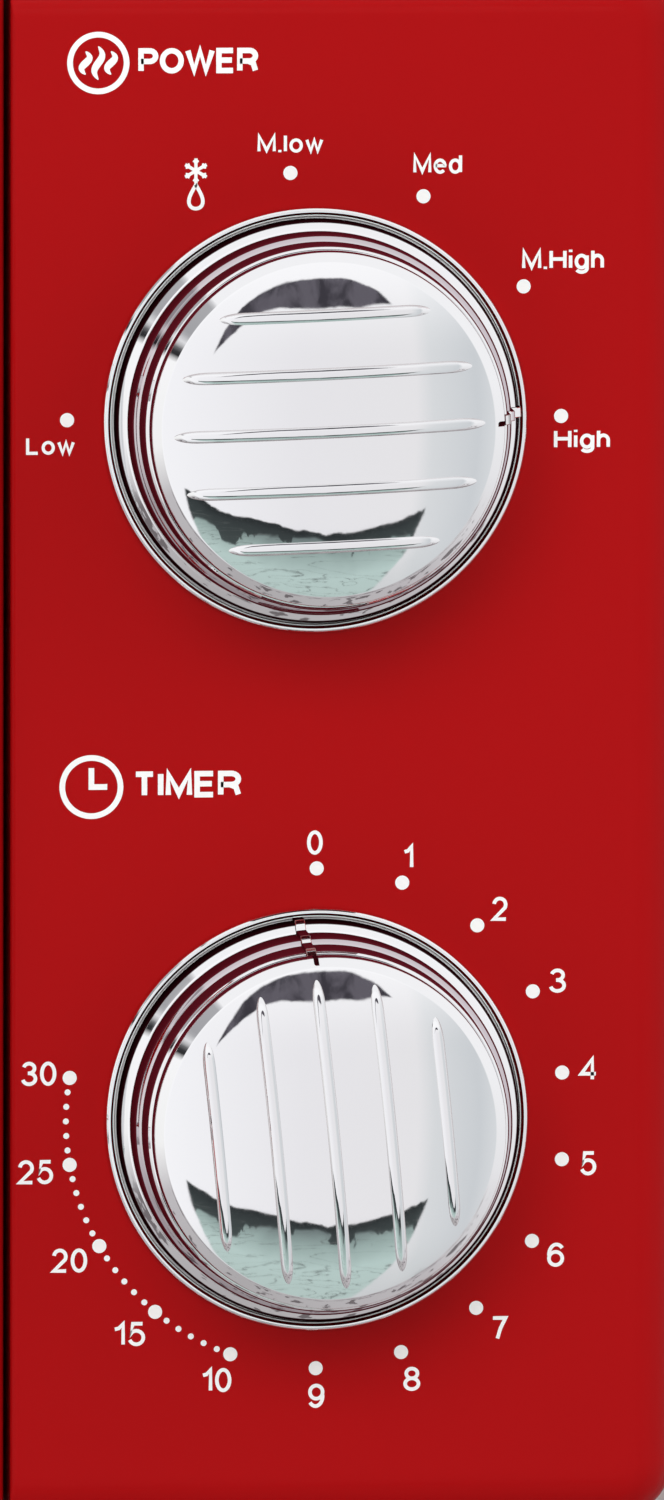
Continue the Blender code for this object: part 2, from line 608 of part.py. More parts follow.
def cooling_fan():
    """A shroud on the rear panel, a five-bladed fan in it and the motor in front."""
    y_back = Y_REAR - SHEET - SEAM
    depth = 0.020
    side = 2 * FAN_R + 0.012
    bore = circle(FAN_X, FAN_Z, FAN_R + 0.001, 32)
    flange = [rounded_rectangle(spread(FAN_X, side), spread(FAN_Z, side), 0.006, 3), bore]
    shroud = plate("fan_shroud", flange, "Y", (y_back - 0.0015, y_back), "black_plastic")
    duct = [circle(FAN_X, FAN_Z, FAN_R + 0.0028, 32), bore]
    join(shroud, plate("duct", duct, "Y", (y_back - depth, y_back - 0.0008)))
    bar_y = (y_back - depth - 0.004 + SEAM, y_back - depth + 0.001)
    bars = [(spread(FAN_X, 2 * FAN_R - 0.002), bar_y, spread(FAN_Z + dz, 0.005)) for dz in (-0.012, 0.012)]
    join(shroud, *[boxes(f"bar_{i}", [bar]) for i, bar in enumerate(bars)])
    hub_y = (y_back - 0.017, y_back - 0.004)
    bore_r, hub_r, hub_length = 0.0020 + RUNNING, 0.0100, hub_y[1] - hub_y[0]
    hub = [(bore_r, hub_length), (hub_r, hub_length), (hub_r, 0), (bore_r, 0)]
    fan = turned("fan_blade", hub, (FAN_X, hub_y[0], FAN_Z), "+Y", "white_plastic", steps=20, ring=True)
    count = 5
    for k in range(count):
        blade = boxes(f"blade_{k}", [((-0.0110, 0.0110), (-0.0006, 0.0006), (0.0085, FAN_R - 0.001))])
        pitch = Matrix.Rotation(math.radians(28), 4, "Z")
        spin = Matrix.Rotation(2 * math.pi * k / count, 4, "Y")
        blade.data.transform(Matrix.Translation((FAN_X, sum(hub_y) / 2, FAN_Z)) @ spin @ pitch)
        join(fan, blade)
    motor_y = (y_back - depth - 0.030, y_back - depth - 0.004)
    motor = boxes("fan_motor", [(spread(FAN_X, 0.050), motor_y, spread(FAN_Z, 0.040))], "laminated_steel")
    shaft_start = (FAN_X, motor_y[1] - 0.002, FAN_Z)
    join(motor, cylinder("shaft", shaft_start, "+Y", 0.0020, 0.022, segments=12))


def turntable_motor():
    top = CAVITY_FLOOR - SHEET - SEAM
    centre = (CAVITY_CENTRE_X, TURNTABLE_Y, 0)
    bore, low = 0.0035 + RUNNING, BASE_TOP + 0.006
    profile = [(bore, top), (0.0245, top), (0.0245, low), (0, low), (0, top - 0.0085), (bore, top - 0.0085)]
    motor = turned("turntable_motor", profile, centre, "+Z", "zinc_steel", steps=28, ring=True)
    ears = boxes("ears", [(spread(CAVITY_CENTRE_X, 0.060), spread(TURNTABLE_Y, 0.010), (top - 0.0012, top))])
    cut(ears, cylinder("clear", (CAVITY_CENTRE_X, TURNTABLE_Y, low), "+Z", 0.012, 0.03))
    join(motor, ears)


def lamp():
    """The bulb beside the cavity's grid of light holes, in a holder screwed to the wall."""
    x0 = BAY_X + 0.006
    neck = 0.0052
    glass = [(0, 0.030), (0.0045, 0.0285), (0.0072, 0.0235), (0.0075, 0.0180)]
    bulb = glass + [(neck, 0.0090), (neck, 0), (0, 0)]
    centre = (x0 + 0.0075, LAMP_Y - 0.018, LAMP_Z)
    turned("lamp_bulb", bulb, centre, "+Y", "clear_glass", steps=16)
    cup_r, lip = 0.0095, 0.006
    cup = [(cup_r, lip), (cup_r, -0.014), (0, -0.014), (0, -SEAM), (neck + SEAM, -SEAM), (neck + SEAM, lip)]
    holder = turned("lamp_holder", cup, centre, "+Y", "white_plastic", steps=16, ring=True)
    foot = ((BAY_X + SEAM, centre[0] - 0.004), (centre[1] - 0.013, centre[1] - 0.004), spread(LAMP_Z, 0.030))
    join(holder, boxes("foot", [foot]))


def thermal_cutout():
    profile = [(0, 0.0085), (0.0065, 0.0085), (0.0065, 0.002), (0.0095, 0.002), (0.0095, 0), (0, 0)]
    centre = (BAY_X + SEAM, Y_PLATE_BACK + 0.0445, CAVITY_Z[1] - 0.044)
    turned("thermal_cutout", profile, centre, "+X", "black_plastic", steps=20)


def filter_board():
    """The noise filter on the rear panel: a board on four posts, with its choke, capacitor and fuse."""
    x, z = spread(COVER_RIGHT - 0.037, 0.058), spread(0.090, 0.048)
    back = Y_REAR - SHEET - SEAM
    y = (back - 0.0076, back - 0.0060)
    board = boxes("filter_board", [(x, y, z)], "circuit_board")
    posts = [
        cylinder("post", (px, y[1] - 0.0005, pz), "+Y", 0.0025, back - y[1] + 0.0005, segments=10)
        for px in grow(x, -0.005) for pz in grow(z, -0.005)
    ]
    near = y[0] + 0.0006
    fitted = [
        (spread(x[0] + 0.014, 0.016), (y[0] - 0.012, near), spread(z[0] + 0.012, 0.010)),
        (spread(x[0] + 0.014, 0.020), (y[0] - 0.006, near), spread(z[1] - 0.010, 0.006)),
        (spread(x[1] - 0.006, 0.004), (y[0] - 0.005, near), spread(sum(z) / 2, 0.030)),
    ]
    choke = cylinder("choke", (x[1] - 0.020, near, sum(z) / 2), "-Y", 0.0090, 0.014, segments=16)
    join(board, *posts, choke, *[boxes(f"fitted_{i}", [limits]) for i, limits in enumerate(fitted)])


def latch_bracket_and_switches():
    """The bracket that the hooks enter, and the two interlock switches beside it."""
    x = (LATCH_X - 0.0070, LATCH_X + 0.0085)
    y = (Y_PLATE_BACK + SEAM, Y_PLATE_BACK + SEAM + 0.036)
    z = (LATCH_HOOKS_Z[0] - 0.016, LATCH_HOOKS_Z[1] + 0.022)
    bracket = boxes("latch_bracket", [(x, y, z)], "white_plastic")
    pockets = []
    for hook in LATCH_HOOKS_Z:
        slot_x, slot_z = latch_slot(hook)
        pockets.append((slot_x, (y[0] - 0.01, y[0] + LATCH_REACH + 0.002), slot_z))
    middle = (grow(x, 0.01), (y[0] + 0.005, y[1] + 0.01), (z[0] + 0.040, z[1] - 0.044))
    cut(bracket, boxes("pockets", pockets + [middle]))
    for end, hook in zip(("lower", "upper"), LATCH_HOOKS_Z):
        switch_x = (x[1] + SEAM, x[1] + SEAM + 0.0102)
        case = (switch_x, (y[0] + 0.008, y[0] + 0.028), spread(hook + 0.004, 0.028))
        switch = boxes(f"door_switch_{end}", [case], "black_plastic")
        middle_x, (case_front, case_back) = sum(switch_x) / 2, case[1]
        blades = [
            (spread(middle_x, 0.0060), (case_back - 0.001, case_back + 0.007), spread(at, 0.0008))
            for at in spread(hook + 0.004, 0.018)
        ]
        button_y = (case_front - 0.0016, case_front + 0.001)
        button = (spread(middle_x, 0.0030), button_y, spread(hook + 0.008, 0.004))
        join(switch, *[boxes(f"blade_{i}", [b]) for i, b in enumerate([*blades, button])])


# ---- control panel --------------------------------------------------------------------------
def rounding(radius, depth):
    """How far a side with a rounded edge stands in at a depth behind that edge."""
    if depth >= radius:
        return 0.0
    return radius - math.sqrt(max(radius**2 - (radius - depth) ** 2, 0.0))


def front_moulding(name, x, y_back, left_edge, right_edge, back_left=0.0):
    """A block with rounded front edges, which sides have their own radii. back_left rounds the
    left side's back edge, to turn about the hinge."""
    total = y_back - Y_FRONT
    steps = 5
    depths = {EDGE_ROUND * (1 - math.cos(math.pi / 2 * k / steps)) for k in range(steps + 1)}
    depths |= {edge * share for edge in (left_edge, right_edge) for share in (0.07, 0.3, 0.6, 1.0)}
    depths |= {total - back_left * (1 - math.sin(math.pi / 2 * k / 5)) for k in range(6)}
    corners = [CORNER_ROUND if edge == EDGE_ROUND else PANEL_EDGE_ROUND for edge in (left_edge, right_edge)]
    rings = []
    for depth in sorted(depths):
        top = rounding(EDGE_ROUND, depth)
        left = max(rounding(left_edge, depth), rounding(back_left, total - depth))
        right = rounding(right_edge, depth)
        radii = [max(corner - top, PANEL_EDGE_ROUND) for corner in corners]
        outline = rounded_rectangle(
            (x[0] + left, x[1] - right), grow((Z_FRONT_LOW, HEIGHT), -top),
            (radii[0], radii[1], radii[1], radii[0]), 4,
        )
        rings.append([(u, Y_FRONT + depth, v) for u, v in outline])
    return loft(name, rings, "red_enamel")


def control_panel():
    y_back = Y_PLATE - SEAM
    panel = front_moulding("control_panel", (PANEL_X, X_RIGHT), y_back, PANEL_EDGE_ROUND, EDGE_ROUND)
    wall = MOULDING_WALL
    inside_x, inside_z = grow((PANEL_X, X_RIGHT), -wall), grow((Z_FRONT_LOW, HEIGHT), -wall)
    outline = rounded_rectangle(inside_x, inside_z, (0.001, 0.008, 0.008, 0.001), 3)
    cut(panel, plate("hollow", [outline], "Y", (Y_FRONT + wall, y_back + 0.01)))
    for centre in DIAL_CENTRES.values():
        start = centre + Vector((0, -0.01, 0))
        pocket = cylinder("pocket", start, "+Y", RING_R - SEAM, 0.01 + RING_POCKET, segments=40)
        cut(panel, pocket, cylinder("hole", start, "+Y", SHAFT_HOLE_R, 0.03))


def trim_ring(name):
    """The bright ring round a knob: its lip covers the pocket's edge."""
    lip, seat = SEAM, -RING_POCKET + SEAM
    outside = RING_R - 2 * SEAM
    profile = [
        (RING_INNER_R + 0.0003, RING_PROUD), (RING_R - 0.0004, RING_PROUD), (RING_R, RING_PROUD - 0.0005),
        (RING_R, lip), (outside, lip), (outside, seat), (RING_INNER_R, seat),
        (RING_INNER_R, RING_PROUD - 0.0005),
    ]
    turned(f"{name}_trim_ring", profile, DIAL_CENTRES[name], "-Y", "chrome", steps=40, ring=True)


DOME_EDGE = (  # how far inside the knob's foot and below its apex the dome turns down to the skirt
    (0.0082, 0.0035), (0.0057, 0.0047), (0.0047, 0.0061), (0.0040, 0.0086),
)
SKIRT = (  # how far inside the foot and above the panel the two steps run
    (0.0033, 0.0108), (0.0020, 0.0096), (0.0017, 0.0050), (0.0004, 0.0038), (0, 0.0016), (0, 0.0004),
)
KNOB_SIDE = [(KNOB_R - inset, KNOB_APEX - drop) for inset, drop in DOME_EDGE]
KNOB_SIDE += [(KNOB_R - inset, height) for inset, height in SKIRT]


def dome_height(radius):
    """Height of the knob's crown, a shallow sphere that meets the skirt's first point."""
    edge_r, edge_h = KNOB_SIDE[0]
    sphere = (edge_r**2 + (KNOB_APEX - edge_h) ** 2) / (2 * (KNOB_APEX - edge_h))
    return KNOB_APEX - sphere + math.sqrt(sphere**2 - radius**2)


def knob(name, rest_angle):
    """The hollow knob with its hub, five ribs on the crown and the pointer notch, at its rest angle."""
    edge_r = KNOB_SIDE[0][0]
    crown = [(0, KNOB_APEX)] + [(r, dome_height(r)) for r in (edge_r / 3, edge_r * 2 / 3)]
    low, bore, hub = SKIRT[-1][1], SHAFT_R + SEAM, SHAFT_R + SEAM + 0.0025
    roof = KNOB_APEX - KNOB_WALL
    inside = [
        (KNOB_R - KNOB_WALL, low), (KNOB_R - 0.0030, 0.0090), (KNOB_R - 0.0058, 0.0106),
        (KNOB_R - 0.0065, roof - 0.0061), (edge_r - 0.0020, roof - 0.0036), (hub + 0.0004, roof - 0.0021),
        (hub, low), (bore, low), (bore, KNOB_GRIP + SEAM), (0, KNOB_GRIP + SEAM),
    ]
    centre = DIAL_CENTRES[name]
    body = turned(f"{name}_knob", crown + KNOB_SIDE + inside, centre, "-Y", "chrome", steps=32)
    turn = Matrix.Translation(centre) @ Matrix.Rotation(rest_angle, 4, "Y")
    for k in range(-2, 3):
        across = RIB_PITCH * k
        reach = math.sqrt(RIB_CIRCLE_R**2 - across**2)
        rib = knob_rib(f"rib_{k}", across, reach)
        rib.data.transform(turn)
        join(body, rib)
    notch_y = (-(KNOB_APEX - 0.0046), -0.0040)
    notch = boxes("notch", [(spread(0, 0.0018), notch_y, (KNOB_R - 0.0054, KNOB_R + 0.0028))])
    notch.data.transform(turn)
    cut(body, notch)
    tip = centre + Vector((0, -KNOB_GRIP, 0))
    length = KNOB_GRIP + MOULDING_WALL + SEAM + SHAFT_IN_UNIT
    cylinder(f"{name}_shaft", tip, "+Y", SHAFT_R, length, "zinc_steel", 16)


def knob_rib(name, across, reach):
    """A low rib that follows the crown and sinks into it at both ends."""
    rings = []
    stations = 8
    for k in range(stations + 1):
        along = reach * (2 * k / stations - 1)
        crown = dome_height(math.hypot(across, along))
        lift = RIB_HEIGHT * (1 - (along / reach) ** 6) - 0.0001
        section = [(-1.0, -0.0012), (-0.55, lift * 0.75), (0, lift), (0.55, lift * 0.75), (1.0, -0.0012)]
        rings.append([(across + RIB_WIDTH / 2 * u, -(crown + h), along) for u, h in section])
    return loft(name, rings)


def control_units():
    """The power selector and the timer behind the panel, each with a bore for its shaft."""
    front = Y_FRONT + MOULDING_WALL + SEAM
    for name, node, size, depth in (
        ("power", "power_selector", 0.052, 0.034), ("timer", "timer_unit", 0.062, 0.046),
    ):
        centre = DIAL_CENTRES[name]
        y = (front + 0.0035, front + 0.0035 + depth)
        unit = boxes(node, [(spread(centre.x, size), y, spread(centre.z, size))], "white_plastic")
        neck = cylinder("neck", (centre.x, front, centre.z), "+Y", 0.0085, 0.006, segments=20)
        blade_y, blade_z = (y[1] - 0.001, y[1] + 0.008), spread(centre.z + size / 3, 0.0008)
        blades = [(spread(centre.x + dx, 0.0063), blade_y, blade_z) for dx in (-0.016, 0.0, 0.016)]
        join(unit, neck, *[boxes(f"terminal_{i}", [b]) for i, b in enumerate(blades)])
        start = (centre.x, front - 0.01, centre.z)
        bore_depth = 0.010 + SHAFT_IN_UNIT + 0.0018
        cut(unit, cylinder("bore", start, "+Y", SHAFT_R + RUNNING, bore_depth, segments=20))
    bell_y = y[1] + 0.006
    start = (centre.x, y[1] - 0.001, centre.z - 0.008)
    join(unit, cylinder("bell_post", start, "+Y", 0.0020, 0.017 - SEAM, segments=10))
    profile = [(0, 0.0110), (0.0100, 0.0100), (0.0160, 0.0060), (0.0180, 0), (0.0170, 0), (0.0150, 0.0052),
               (0.0095, 0.0090), (0, 0.0100)]
    turned("timer_bell", profile, (centre.x, bell_y, centre.z - 0.008), "+Y", "zinc_steel", steps=24)


# ---- door -----------------------------------------------------------------------------------
DOOR_INSIDE_X = (X_LEFT + HINGE_FROM_SIDE + MOULDING_WALL, DOOR_X - MOULDING_WALL)
DOOR_INSIDE_Z = (Z_FRONT_LOW + MOULDING_WALL, HEIGHT - MOULDING_WALL)
SEAL_X = grow(CAVITY_X, SEAL_OVERLAP)
SEAL_Z = grow(CAVITY_Z, SEAL_OVERLAP)
CHOKE_DEPTH = 0.018


def door_inside(gap):
    """The door's inner outline, which leaves out the solid hinge blocks at the left corners."""
    x, z = grow(DOOR_INSIDE_X, -gap), grow(DOOR_INSIDE_Z, -gap)
    block_x = DOOR_INSIDE_X[0] + HINGE_BLOCK_LENGTH + gap
    low, high = DOOR_INSIDE_Z[0] + HINGE_BLOCK_HEIGHT + gap, DOOR_INSIDE_Z[1] - HINGE_BLOCK_HEIGHT - gap
    return [
        (x[0], low), (block_x, low), (block_x, z[0]), (x[1], z[0]),
        (x[1], z[1]), (block_x, z[1]), (block_x, high), (x[0], high),
    ]


def window_outline(margin, segments=5):
    return rounded_rectangle(grow(WINDOW_X, margin), grow(WINDOW_Z, margin), WINDOW_CORNER + margin, segments)


def door_frame():
    frame = front_moulding(
        "door_frame", (X_LEFT, DOOR_X), Y_DOOR_BACK, EDGE_ROUND, DOOR_EDGE_ROUND, back_left=HINGE_FROM_SIDE
    )
    hollow = plate("hollow", [door_inside(0)], "Y", (Y_FRONT + MOULDING_WALL, Y_DOOR_BACK + 0.01))
    window = plate("window", [window_outline(0)], "Y", (Y_FRONT - 0.01, Y_FRONT + MOULDING_WALL + 0.001))
    room = HINGE_TONGUE_WIDTH / 2 + 0.003
    pockets = [
        ((X_LEFT - 0.01, HINGE_X + room), (HINGE_Y - room, Y_DOOR_BACK + 0.01), spread(level, 0.004))
        for level in HINGE_LEVELS.values()
    ]
    cut(frame, hollow, window, boxes("tongue_pockets", pockets))
    for level in HINGE_LEVELS.values():
        start = (HINGE_X, HINGE_Y, level - HINGE_PIN_LENGTH / 2 - SEAM)
        length = HINGE_PIN_LENGTH + 2 * SEAM
        cut(frame, cylinder("pin_bore", start, "+Z", HINGE_PIN_R + SEAM, length, segments=20))


def window_and_trim():
    y = Y_FRONT - SEAM
    trim = [window_outline(TRIM_OUTSIDE, 6), window_outline(-TRIM_INSIDE, 6)]
    rings = []
    for outside, height in ((0, 0), (0, 0.0012), (-0.0010, TRIM_THICKNESS)):
        outer = window_outline(TRIM_OUTSIDE + outside, 6)
        rings.append([(u, y - height, v) for u, v in outer])
    ring = loft("window_trim", rings, "chrome")
    cut(ring, plate("opening", [trim[1]], "Y", (y - 0.01, y + 0.01)))
    glass_y = Y_FRONT + MOULDING_WALL + SEAM
    plate("door_window", [window_outline(0.006)], "Y", (glass_y, glass_y + GLASS_THICKNESS), "dark_glass")


def choke_and_screen():
    """The steel pan that seals against the front plate, the screen in it and the choke's cover."""
    back = Y_DOOR_BACK - SEAM
    flange_y = (back - CHOKE_DEPTH - SHEET, back - CHOKE_DEPTH)
    pan = plate("choke_plate", [door_inside(SEAM)], "Y", flange_y, "cavity_enamel")
    raised = boxes("raised", [(SEAL_X, (flange_y[0] + 0.0005, back), SEAL_Z)])
    join(pan, raised)
    hollow = (grow(SEAL_X, -SHEET), (flange_y[0] - 0.01, back - SHEET), grow(SEAL_Z, -SHEET))
    view = plate("view", [window_outline(-0.004, 3)], "Y", (back - 0.01, back + 0.01))
    cut(pan, boxes("hollow", [hollow]), view)
    screen_y = (back - SHEET - SEAM - 0.0006, back - SHEET - SEAM)
    plate("door_screen", [window_outline(0.003, 3)], "Y", screen_y, "black_plastic")
    slots = [rectangle(*latch_slot(hook, side=0.0035)) for hook in LATCH_HOOKS_Z]
    seal = rectangle(grow(SEAL_X, SEAM), grow(SEAL_Z, SEAM))
    plate("choke_cover", [door_inside(SEAM), seal, *slots], "Y", (back - 0.002, back), "black_plastic")


def handle():
    """An oval bar on two posts that stand in its back."""
    z = spread((Z_FRONT_LOW + HEIGHT) / 2, HANDLE_LENGTH)
    front = Y_FRONT - HANDLE_REACH
    rings = []
    for k in range(9):
        along = -math.cos(math.pi * k / 8)  # close together at the ends
        at = z[0] + HANDLE_LENGTH * (along + 1) / 2
        swell = math.sqrt(max(1 - (abs(along)) ** 7, 0.09))
        half_x, half_y = HANDLE_WIDTH / 2 * swell, HANDLE_THICKNESS / 2 * swell
        middle_y = front + HANDLE_THICKNESS / 2
        turns = [2 * math.pi * i / 16 for i in range(16)]
        rings.append([
            (HANDLE_X + half_x * math.cos(a), middle_y + half_y * math.sin(a), at) for a in turns
        ])
    bar = loft("handle_bar", rings, "chrome")
    seat = front + HANDLE_THICKNESS - HANDLE_SOCKET
    for end, side in (("lower", -1), ("upper", 1)):
        at = sum(z) / 2 + side * HANDLE_POST_SPACING / 2
        cut(bar, cylinder("seat", (HANDLE_X, seat, at), "+Y", HANDLE_POST_R + SEAM, 0.02, segments=20))
        start = (HANDLE_X, seat + SEAM, at)
        length = Y_FRONT - SEAM - start[1]
        cylinder(f"handle_post_{end}", start, "+Y", HANDLE_POST_R, length, "chrome", 20, HANDLE_POST_R * 1.35)


def latch():
    """The lever that slides in the door with its two hooks, and the spring that holds it down."""
    y = (Y_DOOR_BACK - 0.0140, Y_DOOR_BACK - 0.0080)
    x = spread(LATCH_X, LATCH_ARM)
    bar_z = (LATCH_HOOKS_Z[0] - 0.012, LATCH_HOOKS_Z[1] + 0.014)
    lever = boxes("latch_lever", [(spread(LATCH_X, LATCH_ARM), y, bar_z)], "white_plastic")
    tip = Y_DOOR_BACK + LATCH_REACH
    for hook in LATCH_HOOKS_Z:
        arm = boxes("arm", [(x, (y[1] - 0.001, tip), (hook, hook + LATCH_ARM))])
        barb = boxes("barb", [(x, (tip - 0.005, tip), (hook - 0.003, hook + 0.001))])
        join(lever, arm, barb)
    latch_spring((LATCH_X, sum(y) / 2), bar_z[1] + SEAM, DOOR_INSIDE_Z[1] - SEAM)


def latch_spring(place, low, high):
    wire, radius, turns, per_turn = 0.00045, 0.0022, 7, 9
    curve = bpy.data.curves.new("latch_spring", "CURVE")
    curve.dimensions = "3D"
    curve.bevel_depth = wire
    curve.bevel_resolution = 2
    curve.use_fill_caps = True
    spline = curve.splines.new("POLY")
    count = turns * per_turn + 1
    spline.points.add(count - 1)
    for k, point in enumerate(spline.points):
        turn = 2 * math.pi * k / per_turn
        z = low + wire + (high - low - 2 * wire) * k / (count - 1)
        point.co = (place[0] + radius * math.cos(turn), place[1] + radius * math.sin(turn), z, 1)
    obj = bpy.data.objects.new("latch_spring", curve)
    cutters.objects.link(obj)
    as_mesh(obj, "zinc_steel")


# ---- turntable ------------------------------------------------------------------------------
PLATE_Z = CAVITY_FLOOR + 2 * ROLLER_R + 2 * SEAM  # underside of the glass


def turntable():
    centre = (CAVITY_CENTRE_X, TURNTABLE_Y, 0)
    t = TURNTABLE_GLASS
    r, top = TURNTABLE_R, PLATE_Z + t
    profile = [
        (0, top), (r - 0.016, top), (r - 0.0105, top + 0.001), (r - 0.003, top + 0.008), (r, top + 0.009),
        (r, top + 0.006), (r - 0.0085, PLATE_Z + 0.0005), (r - 0.0105, PLATE_Z), (0, PLATE_Z),
    ]
    glass = turned("turntable_plate", profile, centre, "+Z", "clear_glass", steps=40)
    for k in range(3):
        angle = math.radians(60 + 120 * k)
        x, y = CAVITY_CENTRE_X + 0.014 * math.cos(angle), TURNTABLE_Y + 0.014 * math.sin(angle)
        join(glass, cylinder("lug", (x, y, PLATE_Z - 0.0045), "+Z", 0.0030, 0.0065, segments=12))
    top = PLATE_Z - SEAM
    hub = [(0, top), (0.0080, top), (0.0080, CAVITY_FLOOR + 0.001), (0.0035, CAVITY_FLOOR + 0.001),
           (0.0035, CAVITY_FLOOR - 0.0080), (0, CAVITY_FLOOR - 0.0080)]
    coupler = turned("turntable_coupler", hub, centre, "+Z", "white_plastic", steps=20)
    for k in range(3):
        wing = boxes("wing", [((0.004, 0.0185), (-0.0025, 0.0025), (top - 0.0080, top))])
        spin = Matrix.Rotation(math.radians(120 * k), 4, "Z")
        wing.data.transform(Matrix.Translation(centre) @ spin)
        join(coupler, wing)


def roller_ring():
    """The free ring under the glass, with a stub axle and a roller every third of a turn."""
    centre = Vector((CAVITY_CENTRE_X, TURNTABLE_Y, 0))
    axle_z = CAVITY_FLOOR + ROLLER_R + SEAM
    inner_end = ROLLER_TRACK_R - ROLLER_WIDTH / 2
    ring_r = (inner_end - 0.0085, inner_end - 0.0010)
    low, high = axle_z - 0.0028, axle_z + 0.0028
    ring = turned("roller_ring", [
        (ring_r[0], high), (ring_r[1], high), (ring_r[1], low), (ring_r[0], low),
    ], centre, "+Z", "white_plastic", steps=40, ring=True)
    axle_r = 0.0016
    for k in range(ROLLER_COUNT):
        spin = Matrix.Translation(centre) @ Matrix.Rotation(2 * math.pi * k / ROLLER_COUNT, 4, "Z")
        start = (ring_r[1] - 0.002, 0, axle_z)
        axle = cylinder("axle", start, "+X", axle_r, ROLLER_WIDTH + 0.005, segments=12)
        axle.data.transform(spin)
        join(ring, axle)
        half = ROLLER_WIDTH / 2
        bore = axle_r + RUNNING
        roller = turned(f"roller_{k + 1}", [
            (bore, half), (ROLLER_R - 0.0010, half), (ROLLER_R, half - 0.0010), (ROLLER_R, 0.0010 - half),
            (ROLLER_R - 0.0010, -half), (bore, -half),
        ], (ROLLER_TRACK_R, 0, axle_z), "+X", "white_plastic", steps=20, ring=True)
        roller.data.transform(spin)


def main():
    clear_scene()
    feet()
    base_plate()
    outer_cover()
    rear_panel()
    cord_gland()
    front_plate()
    hinges()
    oven_cavity()
    waveguide()
    waveguide_cover()
    magnetron()
    transformer()
    capacitor_and_diode()
    cooling_fan()
    turntable_motor()
    lamp()
    thermal_cutout()
    filter_board()
    latch_bracket_and_switches()
    control_panel()
    control_units()
    for name, angle in (("power", POWER_REST_ANGLE), ("timer", TIMER_REST_ANGLE)):
        trim_ring(name)
        knob(name, angle)
    door_frame()
    window_and_trim()
    choke_and_screen()
    handle()
    latch()
    turntable()
    roller_ring()


main()
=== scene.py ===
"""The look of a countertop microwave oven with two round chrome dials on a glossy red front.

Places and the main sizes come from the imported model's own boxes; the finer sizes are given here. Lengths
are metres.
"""

from math import copysign, cos, hypot, pi, radians, sin, sqrt, tan

import bmesh
import bpy
from mathutils import Matrix, Vector


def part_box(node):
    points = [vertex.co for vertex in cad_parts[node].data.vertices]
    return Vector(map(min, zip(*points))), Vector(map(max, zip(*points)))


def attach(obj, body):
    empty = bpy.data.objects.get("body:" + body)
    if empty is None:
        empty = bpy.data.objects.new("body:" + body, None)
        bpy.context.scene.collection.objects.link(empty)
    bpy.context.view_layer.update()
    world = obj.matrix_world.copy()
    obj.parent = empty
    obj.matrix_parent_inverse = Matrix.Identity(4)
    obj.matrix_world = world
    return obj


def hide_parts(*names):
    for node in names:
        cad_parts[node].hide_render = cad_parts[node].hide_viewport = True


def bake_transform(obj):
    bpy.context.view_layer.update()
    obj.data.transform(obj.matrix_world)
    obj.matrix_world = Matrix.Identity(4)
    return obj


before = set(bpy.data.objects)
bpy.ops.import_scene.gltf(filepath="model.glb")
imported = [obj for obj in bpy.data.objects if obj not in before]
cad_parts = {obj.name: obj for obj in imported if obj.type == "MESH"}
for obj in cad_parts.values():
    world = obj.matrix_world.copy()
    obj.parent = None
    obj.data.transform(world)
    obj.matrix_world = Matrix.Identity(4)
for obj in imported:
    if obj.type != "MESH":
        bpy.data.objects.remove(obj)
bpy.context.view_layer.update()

MM = 0.001
SEAM = 0.0003  # the gap left where two parts only meet
SHEET = 0.001  # the thickness of the cabinet's steel


def limits(node):
    """The node's (low, high) along x, y and z."""
    low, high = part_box(node)
    return [(low[i], high[i]) for i in range(3)]


# ---- places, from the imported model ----
PANEL = limits("control_panel")
DOOR = limits("door_frame")
COVER = limits("outer_cover")
REAR = limits("rear_panel")
TRIM = limits("window_trim")
Y_FRONT = PANEL[1][0]
TOP = PANEL[2][1]
FRONT_LOW = PANEL[2][0]
WALL = 0.003  # the thickness of the front mouldings
EDGE_ROUND = 0.0087
CORNER_ROUND = 0.01
PANEL_EDGE_ROUND = 0.001  # where the panel and the door meet
DOOR_EDGE_ROUND = 0.003
PAST = 0.01  # how far a cutter reaches past the surface that it cuts
HINGE_EDGE = 0.0105  # the door's solid edge beside the hinges, rounded behind to clear them
HINGE_ROOM = 0.009
HINGE_BORE_R = 0.0028
SHAFT_HOLE_R = 0.0062
COVER_CORNER = 0.009
WINDOW_CORNER = 0.024
TRIM_OUTSIDE = 0.0045
TRIM_INSIDE = 0.003
REST_ANGLES = {"power": radians(87.6), "timer": radians(-5.7)}


def mid(pair):
    return sum(pair) / 2


def dial_centre(name):
    x, _, z = limits(f"{name}_trim_ring")
    return Vector((mid(x), Y_FRONT, mid(z)))


DIALS = {name: dial_centre(name) for name in REST_ANGLES}
WINDOW_X = (TRIM[0][0] + TRIM_OUTSIDE, TRIM[0][1] - TRIM_OUTSIDE)
WINDOW_Z = (TRIM[2][0] + TRIM_OUTSIDE, TRIM[2][1] - TRIM_OUTSIDE)


# ---- mesh tools ----
def spread(centre, size):
    return (centre - size / 2, centre + size / 2)


def grow(pair, by):
    return (pair[0] - by, pair[1] + by)


def towards(axis):
    """The rotation that turns local +Z to the axis, given as '-Y', '+X' and so on."""
    direction = Vector([float(axis[0] + "1") if axis[1] == a else 0 for a in "XYZ"])
    return direction.to_track_quat("Z", "Y").to_matrix().to_4x4()


def in_scene(name, data):
    obj = bpy.data.objects.new(name, data)
    bpy.context.scene.collection.objects.link(obj)
    return obj


def smooth(mesh, sharp=30):
    """Smooth shading, but for edges that turn more than this many degrees."""
    mesh.shade_smooth()
    mesh.set_sharp_from_angle(angle=radians(sharp))


def from_bmesh(name, bm, sharp=30):
    mesh = bpy.data.meshes.new(name)
    bm.to_mesh(mesh)
    bm.free()
    smooth(mesh, sharp)
    return in_scene(name, mesh)


def new_object(name, bm, sharp=30):
    bmesh.ops.recalc_face_normals(bm, faces=bm.faces)
    return from_bmesh(name, bm, sharp)


